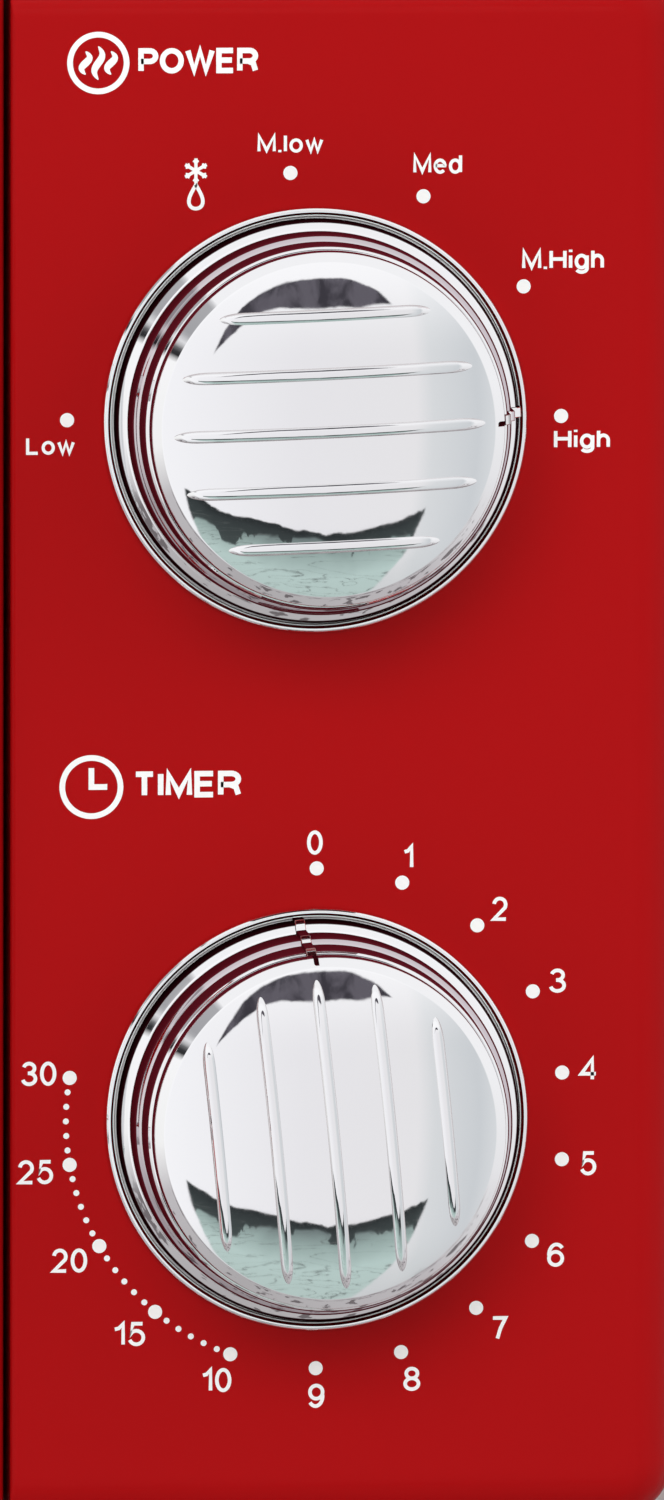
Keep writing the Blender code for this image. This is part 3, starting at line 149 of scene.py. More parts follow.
def evaluated(obj):
    """The object's mesh, with its modifiers applied."""
    bpy.context.view_layer.update()
    graph = bpy.context.evaluated_depsgraph_get()
    return bpy.data.meshes.new_from_object(obj.evaluated_get(graph))


def fillet(points, steps=4):
    """Rounds the corners of an open line of (u, v, radius)."""
    out = [Vector(points[0][:2])]
    for before, at, after in zip(points, points[1:], points[2:]):
        p, radius = Vector(at[:2]), at[2]
        a, b = Vector(before[:2]) - p, Vector(after[:2]) - p
        bend = a.angle(b)
        if radius <= 0 or bend > radians(178):
            out.append(p)
            continue
        reach = min(radius / tan(bend / 2), a.length * 0.49, b.length * 0.49)
        start, end = p + a.normalized() * reach, p + b.normalized() * reach
        for k in range(steps + 1):
            t = k / steps
            out.append(start * (1 - t) ** 2 + p * 2 * t * (1 - t) + end * t**2)
    out.append(Vector(points[-1][:2]))
    return [(v.x, v.y) for v in out]


def skin(bm, rows, closed):
    """Faces between rows of vertices, where a row may be a single point."""
    for a, b in list(zip(rows, rows[1:])) + ([(rows[-1], rows[0])] if closed else []):
        for k in range(max(len(a), len(b))):
            n = k + 1
            face = list(dict.fromkeys((a[k % len(a)], a[n % len(a)], b[n % len(b)], b[k % len(b)])))
            if len(face) > 2:
                bm.faces.new(face)


def lathe(name, profile, centre, axis, segments=128, closed=False, sharp=30):
    """Turns a line of (radius, height) round the axis."""
    bm = bmesh.new()
    place = Matrix.Translation(centre) @ towards(axis)
    rows = []
    for radius, height in profile:
        if radius < 1e-7:
            rows.append([bm.verts.new(place @ Vector((0, 0, height)))])
            continue
        turn = 2 * pi / segments
        rows.append([
            bm.verts.new(place @ Vector((radius * cos(turn * k), radius * sin(turn * k), height)))
            for k in range(segments)
        ])
    skin(bm, rows, closed)
    return new_object(name, bm, sharp)


def loft(name, rings, closed=False, sharp=30):
    """A skin through rings with equal numbers of points: capped, or closed on itself."""
    bm = bmesh.new()
    rows = [[bm.verts.new(p) for p in ring] for ring in rings]
    skin(bm, rows, closed)
    if not closed:
        bm.faces.new(rows[0])
        bm.faces.new(rows[-1])
    return new_object(name, bm, sharp)


def rounded_rectangle(u, v, radii, segments=12):
    """Corners run from low u, low v round by high u, and radii gives one radius for each."""
    if not hasattr(radii, "__len__"):
        radii = (radii,) * 4
    corners = [(u[0], v[0], 1, 1), (u[1], v[0], -1, 1), (u[1], v[1], -1, -1), (u[0], v[1], 1, -1)]
    points = []
    for i, ((cu, cv, du, dv), r) in enumerate(zip(corners, radii)):
        for k in range(segments + 1):
            angle = pi + pi / 2 * (i + k / segments)
            points.append((cu + r * du + r * cos(angle), cv + r * dv + r * sin(angle)))
    return points


def rectangle(u, v):
    return [(u[0], v[0]), (u[1], v[0]), (u[1], v[1]), (u[0], v[1])]


def circle(u, v, radius, segments=32):
    turn = 2 * pi / segments
    return [(u + radius * cos(turn * k), v + radius * sin(turn * k)) for k in range(segments)]


PLANES = {
    "Z": Matrix.Identity(4),
    "Y": Matrix.Rotation(pi / 2, 4, "X"),
    "X": Matrix.Rotation(pi / 2, 4, "Z") @ Matrix.Rotation(pi / 2, 4, "X"),
}


def plate(name, loops, axis, span):
    """A flat outline, with the other loops as its holes, extruded between the limits on the axis."""
    curve = bpy.data.curves.new(name, "CURVE")
    curve.dimensions = "2D"
    curve.fill_mode = "BOTH"
    curve.extrude = (span[1] - span[0]) / 2
    for loop in loops:
        spline = curve.splines.new("POLY")
        spline.points.add(len(loop) - 1)
        spline.use_cyclic_u = True
        for point, (u, v) in zip(spline.points, loop):
            point.co = (u, v, 0, 1)
    obj = in_scene(name, curve)
    middle = Vector([mid(span) if a == axis else 0 for a in "XYZ"])
    obj.matrix_world = Matrix.Translation(middle) @ PLANES[axis]
    bm = bmesh.new()
    bm.from_mesh(evaluated(obj))
    bm.transform(obj.matrix_world)
    bpy.data.objects.remove(obj)
    bmesh.ops.remove_doubles(bm, verts=bm.verts, dist=1e-6)
    return new_object(name, bm)


def boxes(name, items):
    """Boxes given by their limits along x, y and z."""
    bm = bmesh.new()
    for x, y, z in items:
        size = Vector((x[1] - x[0], y[1] - y[0], z[1] - z[0]))
        centre = Vector((sum(x), sum(y), sum(z))) / 2
        place = Matrix.Translation(centre) @ Matrix.Diagonal((*size, 1))
        bmesh.ops.create_cube(bm, size=1, matrix=place)
    return new_object(name, bm)


def cut(obj, *others):
    """Cuts the other objects out of this one, and removes them."""
    for other in others:
        modifier = obj.modifiers.new("cut", "BOOLEAN")
        modifier.operation = "DIFFERENCE"
        modifier.object = other
        modifier.solver = "EXACT"
    mesh = evaluated(obj)
    obj.modifiers.clear()
    obj.data = mesh
    for other in others:
        bpy.data.objects.remove(other)
    smooth(mesh)
    return obj


def joined(name, parts):
    """One object from several, each left where it is."""
    bm = bmesh.new()
    for part in parts:
        part.data.transform(part.matrix_world)
        bm.from_mesh(part.data)
        bpy.data.objects.remove(part)
    return from_bmesh(name, bm)


def flat_faces(obj):
    """Keeps the shading of broad flat faces flat beside narrow roundings."""
    modifier = obj.modifiers.new("normals", "WEIGHTED_NORMAL")
    modifier.keep_sharp = True
    modifier.weight = 100
    return obj


def place(obj, body, slot, *nodes, look=None):
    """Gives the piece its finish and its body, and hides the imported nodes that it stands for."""
    obj.data.materials.clear()
    obj.data.materials.append(LOOKS[look or slot])
    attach(obj, body)
    if nodes:
        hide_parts(*nodes)


# ---- materials ----
def settle(node, **values):
    """Sets a node's own sockets. An underscore stands for a space in a socket's name."""
    for name, value in values.items():
        node.inputs[name.replace("_", " ")].default_value = value
    return node


class Tree:
    """Short names for making shader nodes."""

    def __init__(self, material):
        material.use_nodes = True
        self.tree = material.node_tree
        self.shader = self.tree.nodes.get("Principled BSDF")

    def node(self, kind, **values):
        made = self.tree.nodes.new("ShaderNode" + kind)
        for key, value in values.items():
            setattr(made, key, value)
        return made

    def link(self, source, target):
        self.tree.links.new(source, target)

    def into(self, socket, source):
        """Feeds a socket of the shader."""
        self.link(source, self.shader.inputs[socket])

    def feed(self, socket, value):
        if isinstance(value, bpy.types.NodeSocket):
            self.link(value, socket)
        elif value is not None:
            socket.default_value = value

    def math(self, operation, a, b=None):
        made = self.node("Math", operation=operation)
        for socket, value in zip(made.inputs, (a, b)):
            self.feed(socket, value)
        return made.outputs[0]

    def plus(self, a, b):
        return self.math("ADD", a, b)

    def minus(self, a, b):
        return self.math("SUBTRACT", a, b)

    def times(self, a, b):
        return self.math("MULTIPLY", a, b)

    def over(self, a, b):
        return self.math("DIVIDE", a, b)

    def gap(self, a, b):
        """How far apart two numbers are."""
        return self.math("ABSOLUTE", self.minus(a, b))

    def xyz(self, vector):
        split = self.node("SeparateXYZ")
        self.link(vector, split.inputs[0])
        return split.outputs

    def ramp(self, value, stops):
        made = self.node("ValToRGB")
        elements = made.color_ramp.elements
        while len(elements) < len(stops):
            elements.new(0.5)
        for element, (at, *colour) in zip(elements, stops):
            element.position = at
            element.color = (*colour, 1)
        self.feed(made.inputs[0], value)
        return made.outputs["Color"]

    def mix(self, factor, a, b, blend="MIX"):
        made = self.node("Mix", data_type="RGBA", blend_type=blend)
        self.feed(made.inputs[0], factor)
        for socket, value in zip((made.inputs[6], made.inputs[7]), (a, b)):
            self.feed(socket, (*value, 1) if isinstance(value, tuple) and len(value) == 3 else value)
        return made.outputs[2]

    def between(self, value, low, high, to_low=0, to_high=1):
        made = self.node("MapRange", interpolation_type="SMOOTHSTEP")
        for socket, number in zip(made.inputs, (value, low, high, to_low, to_high)):
            self.feed(socket, number)
        return made.outputs[0]

    def noise(self, where, scale, detail=3.0, distortion=0.0):
        made = settle(self.node("TexNoise"), Scale=scale, Detail=detail, Distortion=distortion)
        self.link(where, made.inputs["Vector"])
        return made.outputs["Fac"]

    def stretched(self, where, scale):
        made = settle(self.node("Mapping"), Scale=scale)
        self.link(where, made.inputs["Vector"])
        return made.outputs["Vector"]

    def relief(self, height, strength, distance):
        made = settle(self.node("Bump"), Strength=strength, Distance=distance)
        self.link(height, made.inputs["Height"])
        self.into("Normal", made.outputs["Normal"])


def surface(
    name, colour, roughness, metallic=0.0, specular=0.5, vary=0.06, broad=18.0, fine=1500.0,
    uneven=0.03, bump=0.03, depth=0.0001, stretch=None, transmission=0.0, ior=1.45,
):
    """A finish with uneven colour, roughness and relief, and its node tree for adding to."""
    made = bpy.data.materials.new(name)
    t = Tree(made)
    where = t.node("TexCoord").outputs["Object"]
    if stretch:
        where = t.stretched(where, stretch)
    cloud = t.noise(where, broad, 4.0)
    grain = t.noise(where, fine, 2.0)
    darker = tuple(c * (1 - vary) for c in colour)
    lighter = tuple(min(c * (1 + vary), 1) for c in colour)
    base = t.ramp(cloud, [(0.35, *darker), (0.65, *lighter)])
    t.into("Base Color", base)
    mottled = t.plus(t.times(cloud, 0.6), t.times(grain, 0.4))
    rough = t.between(mottled, 0.35, 0.65, max(roughness - uneven, 0.01), roughness + uneven)
    t.into("Roughness", rough)
    t.relief(grain, bump, depth)
    settle(t.shader, Metallic=metallic, Specular_IOR_Level=specular)
    settle(t.shader, IOR=ior, Transmission_Weight=transmission)
    return made, t, where, base


LOOKS = {}


def finish(name, *args, **values):
    LOOKS[name] = surface(name, *args, **values)[0]


RED = (0.39, 0.004, 0.0052)
finish("red_moulding", RED, 0.16, specular=0.06, vary=0.015, broad=9, bump=0.012)
finish("red_enamel", RED, 0.2, specular=0.1, vary=0.02, broad=9, fine=700, bump=0.05)
finish("chrome", (0.88, 0.88, 0.885), 0.03, 1.0, vary=0.01, uneven=0.012, bump=0.004)
finish("print_white", (0.93, 0.93, 0.92), 0.45, specular=0.2, vary=0.02, fine=4000)
finish(
    "dark_glass", (0.16, 0.16, 0.165), 0.03, specular=0.22, vary=0.03, uneven=0.01, bump=0.002,
    transmission=0.9, ior=1.5,
)
finish(
    "clear_glass", (0.9, 0.96, 0.94), 0.02, specular=0.5, vary=0.01, uneven=0.01, bump=0.01,
    transmission=0.93, ior=1.5,
)
finish("black_plastic", (0.022, 0.022, 0.023), 0.48, fine=2200, bump=0.25, uneven=0.07)
finish("white_plastic", (0.74, 0.73, 0.69), 0.42, fine=1400, bump=0.1, uneven=0.05)
finish("cavity_enamel", (0.6, 0.61, 0.6), 0.34, fine=520, bump=0.18, depth=0.0002)
finish("rubber", (0.03, 0.03, 0.031), 0.78, fine=1700, bump=0.35, specular=0.3)
finish("aluminium", (0.74, 0.75, 0.76), 0.33, 1.0, fine=2600, stretch=(1, 0.06, 1), bump=0.12)
finish("mica", (0.48, 0.4, 0.28), 0.55, vary=0.22, broad=160, fine=2400, stretch=(1, 1, 0.5), bump=0.3)


def zinc():
    """Galvanised sheet, with its crystals."""
    made, t, where, base = surface(
        "zinc_steel", (0.56, 0.57, 0.585), 0.36, 1.0, uneven=0.08, bump=0.05
    )
    cells = settle(t.node("TexVoronoi"), Scale=150)
    t.link(where, cells.inputs["Vector"])
    facet = t.node("SeparateColor")
    t.link(cells.outputs["Color"], facet.inputs[0])
    shade = t.ramp(facet.outputs[0], [(0, 0.82, 0.82, 0.82), (1, 1, 1, 1)])
    t.into("Base Color", t.mix(0.8, base, shade, "MULTIPLY"))
    rough = t.between(facet.outputs[1], 0.0, 1.0, 0.28, 0.46)
    t.into("Roughness", rough)
    return made


def layered(name, colour, dark, roughness, pitch, axis, share=0.75, metallic=1.0):
    """Stacked sheets or wound wire: fine bands across an axis, cut into the surface."""
    made, t, where, base = surface(name, colour, roughness, metallic, vary=0.1, broad=60, bump=0.05)
    along = t.over(t.xyz(where)["XYZ".index(axis)], pitch)
    saw = t.math("PINGPONG", along, 0.5)
    edge = t.between(saw, 0.0, 0.5 * (1 - share) + 0.08, 0.0, 1.0)
    t.into("Base Color", t.mix(edge, dark, base))
    t.relief(edge, 0.8, pitch * 0.4)
    return made


def fibre_board():
    """A resin board with a fine woven pattern."""
    made, t, where, base = surface("circuit_board", (0.3, 0.2, 0.075), 0.4, vary=0.12, broad=240)
    weave = settle(
        t.node("TexBrick"), Scale=220, Color1=(1, 1, 1, 1), Color2=(0.8, 0.8, 0.8, 1),
        Mortar=(0.62, 0.6, 0.55, 1),
    )
    t.link(where, weave.inputs["Vector"])
    t.into("Base Color", t.mix(0.6, base, weave.outputs["Color"], "MULTIPLY"))
    return made


BAND_RIMS = (0.0042, 0.0107, 0.01675)  # heights above the panel of the outer rim of each step


def dial_chrome():
    """Chrome with painted reflections and painted shade: walls that face sideways get painted shade, black
    near the panel, turning into a painted dark red reflection of the panel higher up; each step gets a thin
    painted dark line at its outer rim and the middle step a painted mauve reflection. Near the panel the
    chrome is made mostly matte.
    """
    made, t, where, base = surface(
        "dial_chrome", (0.88, 0.88, 0.885), 0.03, 1.0, vary=0.01, uneven=0.012, bump=0.004
    )
    # painted shade and a painted reflection go on the walls that face sideways, in place of the chrome's
    # mirror
    facing = t.xyz(t.node("TexCoord").outputs["Normal"])[1]
    height = t.minus(Y_FRONT, t.xyz(where)[1])
    painted_dark_mask = t.between(t.math("ABSOLUTE", facing), 0.22, 0.6, 1.0, 0.0)
    # the painted colour of those walls: painted shade, black at the panel, then a painted reflection of the
    # red panel, dark red higher up
    deep = t.ramp(t.over(height, 0.022), [
        (0.0, 0.004, 0.001, 0.001), (0.19, 0.01, 0.001, 0.002), (0.3, 0.085, 0.006, 0.012),
        (0.9, 0.13, 0.012, 0.022),
    ])
    # a painted mauve reflection on the middle step
    middle = t.times(t.between(height, 0.01, 0.0104), t.between(height, 0.0112, 0.0118, 1, 0))
    # near the panel the chrome is made mostly matte
    low = t.between(height, 0.0018, 0.003, 1, 0)
    # a thin painted dark line round the outer rim of each step
    for at in BAND_RIMS:
        above = t.between(height, at - 0.0003, at - 0.0001)
        painted_dark_mask = t.math("MAXIMUM", painted_dark_mask, t.times(above, t.between(height, at + 0.00018, at + 0.00026, 1, 0)))
    base_with_painted_mauve = t.mix(middle, base, (0.6, 0.54, 0.57))
    t.into("Base Color", t.mix(painted_dark_mask, base_with_painted_mauve, deep))
    # where the painted colour lies the chrome is not metallic, so the painted reflection and shade show
    bright = t.minus(1.0, t.math("MAXIMUM", painted_dark_mask, t.times(low, 0.85)))
    t.into("Metallic", bright)
    settle(t.shader, Specular_IOR_Level=0.0)
    return made


LOOKS["zinc_steel"] = zinc()
LOOKS["laminated_steel"] = layered(
    "laminated_steel", (0.2, 0.19, 0.185), (0.05, 0.05, 0.05), 0.5, 0.0006, "Y"
)
LOOKS["copper"] = layered("copper", (0.6, 0.25, 0.11), (0.1, 0.035, 0.02), 0.32, 0.0011, "Z")
LOOKS["circuit_board"] = fibre_board()
# chrome with painted reflections and painted shade, for the knobs
LOOKS["dial_chrome"] = dial_chrome()


def finish_nodes():
    """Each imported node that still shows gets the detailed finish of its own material."""
    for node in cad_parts.values():
        for slot in node.material_slots:
            slot.link = "DATA"
            name = slot.material.name.split(".")[0] if slot.material else "zinc_steel"
            found = next((key for key in LOOKS if name.endswith(key)), "zinc_steel")
            slot.material = LOOKS[found]


# ---- the two front mouldings ----
def rounding(radius, depth):
    """How far a side with a rounded edge stands in at a depth behind that edge."""
    if depth >= radius:
        return 0.0
    return radius - sqrt(max(radius**2 - (radius - depth) ** 2, 0.0))


def front_moulding(name, x, y_back, left_edge, right_edge, back_left=0.0):
    """A block with rounded front edges, which sides have their own radii."""
    total = y_back - Y_FRONT
    steps = 16
    depths = {EDGE_ROUND * (1 - cos(pi / 2 * k / steps)) for k in range(steps + 1)}
    for edge in (left_edge, right_edge):
        depths |= {edge * (1 - cos(pi / 2 * k / 8)) for k in range(9)}
    depths |= {total - back_left * (1 - sin(pi / 2 * k / 10)) for k in range(11)}
    corners = [CORNER_ROUND if edge == EDGE_ROUND else PANEL_EDGE_ROUND for edge in (left_edge, right_edge)]
    rings = []
    for depth in sorted(round(d, 7) for d in depths):
        top = rounding(EDGE_ROUND, depth)
        left = max(rounding(left_edge, depth), rounding(back_left, total - depth))
        right = rounding(right_edge, depth)
        radii = [max(corner - top, PANEL_EDGE_ROUND) for corner in corners]
        radii = (radii[0], radii[1], radii[1], radii[0])
        outline = rounded_rectangle((x[0] + left, x[1] - right), grow((FRONT_LOW, TOP), -top), radii)
        rings.append([(u, Y_FRONT + depth, v) for u, v in outline])
    apart = [ring for i, ring in enumerate(rings) if i == 0 or ring[0][1] - rings[i - 1][0][1] > 1e-6]
    return loft(name, apart)


def control_panel():
    panel = front_moulding("control_panel_moulding", PANEL[0], PANEL[1][1], PANEL_EDGE_ROUND, EDGE_ROUND)
    inside = rounded_rectangle(
        grow(PANEL[0], -WALL), grow(PANEL[2], -WALL), (0.001, 0.008, 0.008, 0.001), 6
    )
    cutters = [plate("hollow", [inside], "Y", (Y_FRONT + WALL, PANEL[1][1] + PAST))]
    for centre in DIALS.values():
        pocket = [circle(centre.x, centre.z, RING_R - 0.0004, 160)]
        hole = [circle(centre.x, centre.z, SHAFT_HOLE_R, 48)]
        cutters.append(plate("pocket", pocket, "Y", (Y_FRONT - PAST, Y_FRONT + WALL / 2)))
        cutters.append(plate("hole", hole, "Y", (Y_FRONT - 0.02, Y_FRONT + 0.02)))
    place(flat_faces(cut(panel, *cutters)), "chassis", "red_moulding", "control_panel")


def door_inside():
    """The door's inner outline, which leaves out the solid hinge blocks at the left corners."""
    x = (DOOR[0][0] + HINGE_EDGE + WALL, DOOR[0][1] - WALL)
    z = grow(DOOR[2], -WALL)
    block = (0.0105, 0.0115)
    block_x, low, high = x[0] + block[0], z[0] + block[1], z[1] - block[1]
    return [
        (x[0], low), (block_x, low), (block_x, z[0]), (x[1], z[0]),
        (x[1], z[1]), (block_x, z[1]), (block_x, high), (x[0], high),
    ]


def window_outline(margin, segments=20):
    return rounded_rectangle(grow(WINDOW_X, margin), grow(WINDOW_Z, margin), WINDOW_CORNER + margin, segments)


def door():
    hinge = limits("hinge_pin_upper")
    hinge_x, hinge_y = mid(hinge[0]), mid(hinge[1])
    levels = [mid(limits(f"hinge_pin_{end}")[2]) for end in ("lower", "upper")]
    moulding = front_moulding(
        "door_moulding", DOOR[0], DOOR[1][1], EDGE_ROUND, DOOR_EDGE_ROUND, back_left=HINGE_EDGE
    )
    hollow = plate("hollow", [door_inside()], "Y", (Y_FRONT + WALL, DOOR[1][1] + PAST))
    window = plate("window", [window_outline(0)], "Y", (Y_FRONT - PAST, Y_FRONT + WALL + 0.001))
    room_x = (DOOR[0][0] - PAST, hinge_x + HINGE_ROOM)
    room_y = (hinge_y - HINGE_ROOM, DOOR[1][1] + PAST)
    pockets = boxes("pockets", [(room_x, room_y, spread(level, 0.004)) for level in levels])
    bore = circle(hinge_x, hinge_y, HINGE_BORE_R, 32)
    bores = [plate("bore", [bore], "Z", spread(level, 0.0091)) for level in levels]
    cut(moulding, hollow, window, pockets, *bores)
    place(flat_faces(moulding), "door", "red_moulding", "door_frame")


def window_trim():
    """The bright rim round the window: a low rounded section swept round the opening."""
    top = Y_FRONT - TRIM[1][0]
    section = fillet([
        (TRIM_OUTSIDE, SEAM, 0), (TRIM_OUTSIDE, top * 0.62, 0.0008), (TRIM_OUTSIDE - 0.0022, top, 0.0012),
        (-TRIM_INSIDE + 0.0016, top, 0.001), (-TRIM_INSIDE, top - 0.0012, 0.0006), (-TRIM_INSIDE, SEAM, 0),
    ], 5)
    rings = [[(u, Y_FRONT - h, v) for u, v in window_outline(margin)] for margin, h in section]
    rim = flat_faces(loft("window_rim", rings, closed=True))
    place(rim, "door", "chrome", "window_trim")


def door_screen():
    """The steel screen behind the glass, with its holes."""
    x, y, z = limits("door_screen")
    pitch, radius, sides = 0.0034, 0.00115, 8
    edge, corner = 0.006, 0.018
    inner_x, inner_z = grow(x, -edge), grow(z, -edge)
    across = int((inner_x[1] - inner_x[0]) / pitch)
    up = int((inner_z[1] - inner_z[0]) / pitch)
    origin_x = (x[0] + x[1] - across * pitch) / 2
    origin_z = (z[0] + z[1] - up * pitch) / 2
    turns = [2 * pi * (k + 0.5) / sides for k in range(sides)]
    bm = bmesh.new()
    for i in range(across):
        for j in range(up):
            cx, cz = origin_x + pitch * (i + 0.5), origin_z + pitch * (j + 0.5)
            near_x = max(inner_x[0] + corner - cx, cx - inner_x[1] + corner, 0)
            near_z = max(inner_z[0] + corner - cz, cz - inner_z[1] + corner, 0)
            solid = hypot(near_x, near_z) > corner - pitch / 2
            square = []
            for angle in turns:
                reach = pitch / 2 / max(abs(cos(angle)), abs(sin(angle)))
                u, v = cos(angle) * reach, sin(angle) * reach
                square.append(bm.verts.new((cx + u, y[0], cz + v)))
            if solid:
                bm.faces.new(square)
                continue
            hole = [
                bm.verts.new((cx + radius * cos(a), y[0], cz + radius * sin(a)))
                for a in turns
            ]
            for k in range(sides):
                n = (k + 1) % sides
                bm.faces.new((square[k], square[n], hole[n], hole[k]))
    mesh_box = ((origin_x, origin_x + across * pitch), (origin_z, origin_z + up * pitch))
    sheet = new_object("sheet", bm)
    border = plate("border", [rounded_rectangle(x, z, WINDOW_CORNER, 16), rectangle(*mesh_box)], "Y", y)
    screen = joined("door_screen_mesh", [sheet, border])
    place(screen, "door", "black_plastic", "door_screen")


# ---- handle ----
def handle():
    x, y, z = limits("handle_bar")
    middle_x, middle_y = mid(x), mid(y)
    half = ((x[1] - x[0]) / 2, (y[1] - y[0]) / 2)
    rings, stations, sides = [], 56, 48
    turns = [2 * pi * i / sides for i in range(sides)]
    for k in range(stations + 1):
        along = -cos(pi * k / stations)
        at = z[0] + (z[1] - z[0]) * (along + 1) / 2
        swell = max(max(1 - abs(along) ** 7, 0.0) ** 0.5, 0.02)
        slim = 1.0 - 0.1 * along**2
        rings.append([
            (middle_x + half[0] * swell * slim * copysign(abs(cos(a)) ** 0.9, cos(a)),
             middle_y + half[1] * swell * copysign(abs(sin(a)) ** 0.9, sin(a)), at)
            for a in turns
        ])
    bar = loft("handle_grip_bar", rings, sharp=60)
    place(bar, "door", "chrome", "handle_bar")
    for end in ("lower", "upper"):
        px, py, pz = limits(f"handle_post_{end}")
        wide = (px[1] - px[0]) / 2
        length = Y_FRONT - SEAM - py[0]
        profile = fillet([
            (0, length - 0.0005, 0), (wide * 0.7, length - 0.0005, 0.0004), (wide * 0.74, 0.0075, 0.004),
            (wide * 0.92, 0.0026, 0.0015), (wide, 0.002, 0.0008), (wide, 0, 0), (0, 0, 0),
        ], 5)
        centre = (mid(px), Y_FRONT - SEAM, mid(pz))
        post = lathe(f"handle_post_{end}_turned", profile, centre, "-Y", 48)
        place(post, "door", "chrome", f"handle_post_{end}")


def latch_spring():
    """The coil above the latch lever, as a fixed shape; on the real oven it shortens as the lever slides up.
    """
    x, y, z = limits("latch_spring")
    middle_x, middle_y = mid(x), mid(y)
    wire, turns, around, sides = 0.00035, 13, 20, 8
    radius = min(x[1] - x[0], y[1] - y[0]) / 2 - wire
    rise = (z[1] - z[0] - 2 * wire) / (turns * around)
    rings = []
    for k in range(turns * around + 1):
        a = 2 * pi * k / around
        out = Vector((cos(a), sin(a), 0))
        centre = Vector((middle_x, middle_y, z[0] + wire + rise * k)) + out * radius
        rings.append([
            centre + out * wire * cos(b) + Vector((0, 0, wire * sin(b)))
            for b in (2 * pi * i / sides for i in range(sides))
        ])
    coil = loft("latch_spring_coil", rings, sharp=60)
    coil.data.materials.append(LOOKS["zinc_steel"])
    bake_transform(coil)
    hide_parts("latch_spring")


# ---- dials ----
RING = limits("timer_trim_ring")
RING_R = (RING[0][1] - RING[0][0]) / 2
RING_PROUD = Y_FRONT - RING[1][0]
KNOB_APEX = Y_FRONT - limits("timer_knob")[1][0]
CROWN_RADIUS = 0.084
DOME_R = 0.0276
POINTER_WIDTH = 0.0016


def crown(radius):
    """Height of the knob's domed top above the panel."""
    return KNOB_APEX - CROWN_RADIUS + sqrt(CROWN_RADIUS**2 - radius**2)


def trim_ring(name):
    inner = RING_R - 0.0007
    profile = fillet([
        (inner, -0.0012, 0), (inner, RING_PROUD, 0), (inner + 0.00035, RING_PROUD - 0.00005, 0.0003),
        (RING_R - 0.00005, RING_PROUD - 0.00035, 0.0003),
        (RING_R, 0.0003, 0), (RING_R - 0.0006, 0.0003, 0),
        (RING_R - 0.0006, -0.0012, 0),
    ], 6)
    ring = lathe(f"{name}_ring", profile, DIALS[name], "-Y", 192, closed=True)
    place(ring, "chassis", "chrome", f"{name}_trim_ring")


def knob_profile():
    """The outside of the knob: its domed top, then down three steps to the flange at its foot."""
    top = [(k * MM, crown(k * MM), 0) for k in range(25)]
    shoulder = [
        (26.3 * MM, crown(26.3 * MM), 1.7 * MM), (27.75 * MM, crown(DOME_R) - 0.55 * MM, 0.35 * MM),
    ]
    # below the dome: radius, height and rounding in millimetres
    outside = [
        (27.9, 17.35, 0.05), (28.1, 17.3, 0.1), (28.6, 16.75, 0.25), (28.85, 11.45, 0.15),
        (29.25, 11.25, 0.3), (29.9, 10.7, 0.25), (30.05, 5.1, 0.15), (30.4, 4.95, 0.5),
        (31.72, 4.2, 0.35), (31.8, 0.75, 0.1), (32.15, 0.75, 0.1), (32.2, 1.45, 0.08),
        (32.42, 1.45, 0.08), (32.45, 0.4, 0),
    ]
    inside = [
        (30.2, 0.4, 0), (29.0, 9.0, 0), (26.4, 11, 0), (25.7, 16.5, 0), (22, 19, 0), (6.2, 20.5, 0),
        (5.8, 0.4, 0), (3.3, 0.4, 0), (3.3, 14, 0), (0, 14, 0),
    ]
    return fillet(top + shoulder + [(r * MM, h * MM, turn * MM) for r, h, turn in outside + inside], 5)


def crown_rib(name, across, reach, width, height):
    """A slim raised line across the crown, rounded over and faded at its ends."""
    rings, stations = [], 40
    for k in range(stations + 1):
        share = 0.5 - 0.5 * cos(pi * k / stations)
        along = -reach + 2 * reach * share
        end = min(share, 1 - share) * 2 * reach
        lift = height * sin(min(1.0, end / 0.0022) * pi / 2) - 0.00002
        slim = sqrt(max(1 - (1 - min(1.0, end / 0.004)) ** 2, 0.02))
        base = crown(min(hypot(across, along), DOME_R))
        half = width / 2 * slim
        left = [(-half - 0.0003, -0.001), (-half, -0.00005)]
        left += [(-half * 0.72, lift * 0.72), (-half * 0.36, lift * 0.94)]
        section = left + [(0, lift)] + [(-u, h) for u, h in reversed(left)]
        rings.append([(across + u, -(base + h), along) for u, h in section])
    return loft(name, rings, sharp=50)


def pointer():
    """The raised line up the skirt that shows the setting, from the flange to the dome's edge."""
    line = [
        (32.3, 1.45), (31.95, 1.6), (31.86, 4.2), (31.3, 4.75), (30.25, 5.35), (30.05, 10.75),
        (29.55, 11.25), (28.95, 11.75), (28.65, 16.9), (28.2, 17.6), (27.7, 18.3),
    ]
    path = fillet([(r * MM, h * MM, 0.00035) for r, h in line], 4)
    rings, half, lift = [], POINTER_WIDTH / 2, 0.00042
    for i, (r, h) in enumerate(path):
        before, after = Vector(path[max(i - 1, 0)]), Vector(path[min(i + 1, len(path) - 1)])
        along = (after - before).normalized()
        out = Vector((-along.y, along.x)) if along.x < 0 or along.y > 0 else Vector((along.y, -along.x))
        if out.x < 0 and out.y < 0:
            out = -out
        left = [(-half, -0.0012), (-half * 0.98, lift * 0.8), (-half * 0.86, lift)]
        section = left + [(-u, d) for u, d in reversed(left)]
        rings.append([(u, -(h + out.y * d), r + out.x * d) for u, d in section])
    return loft("pointer", rings, sharp=50)


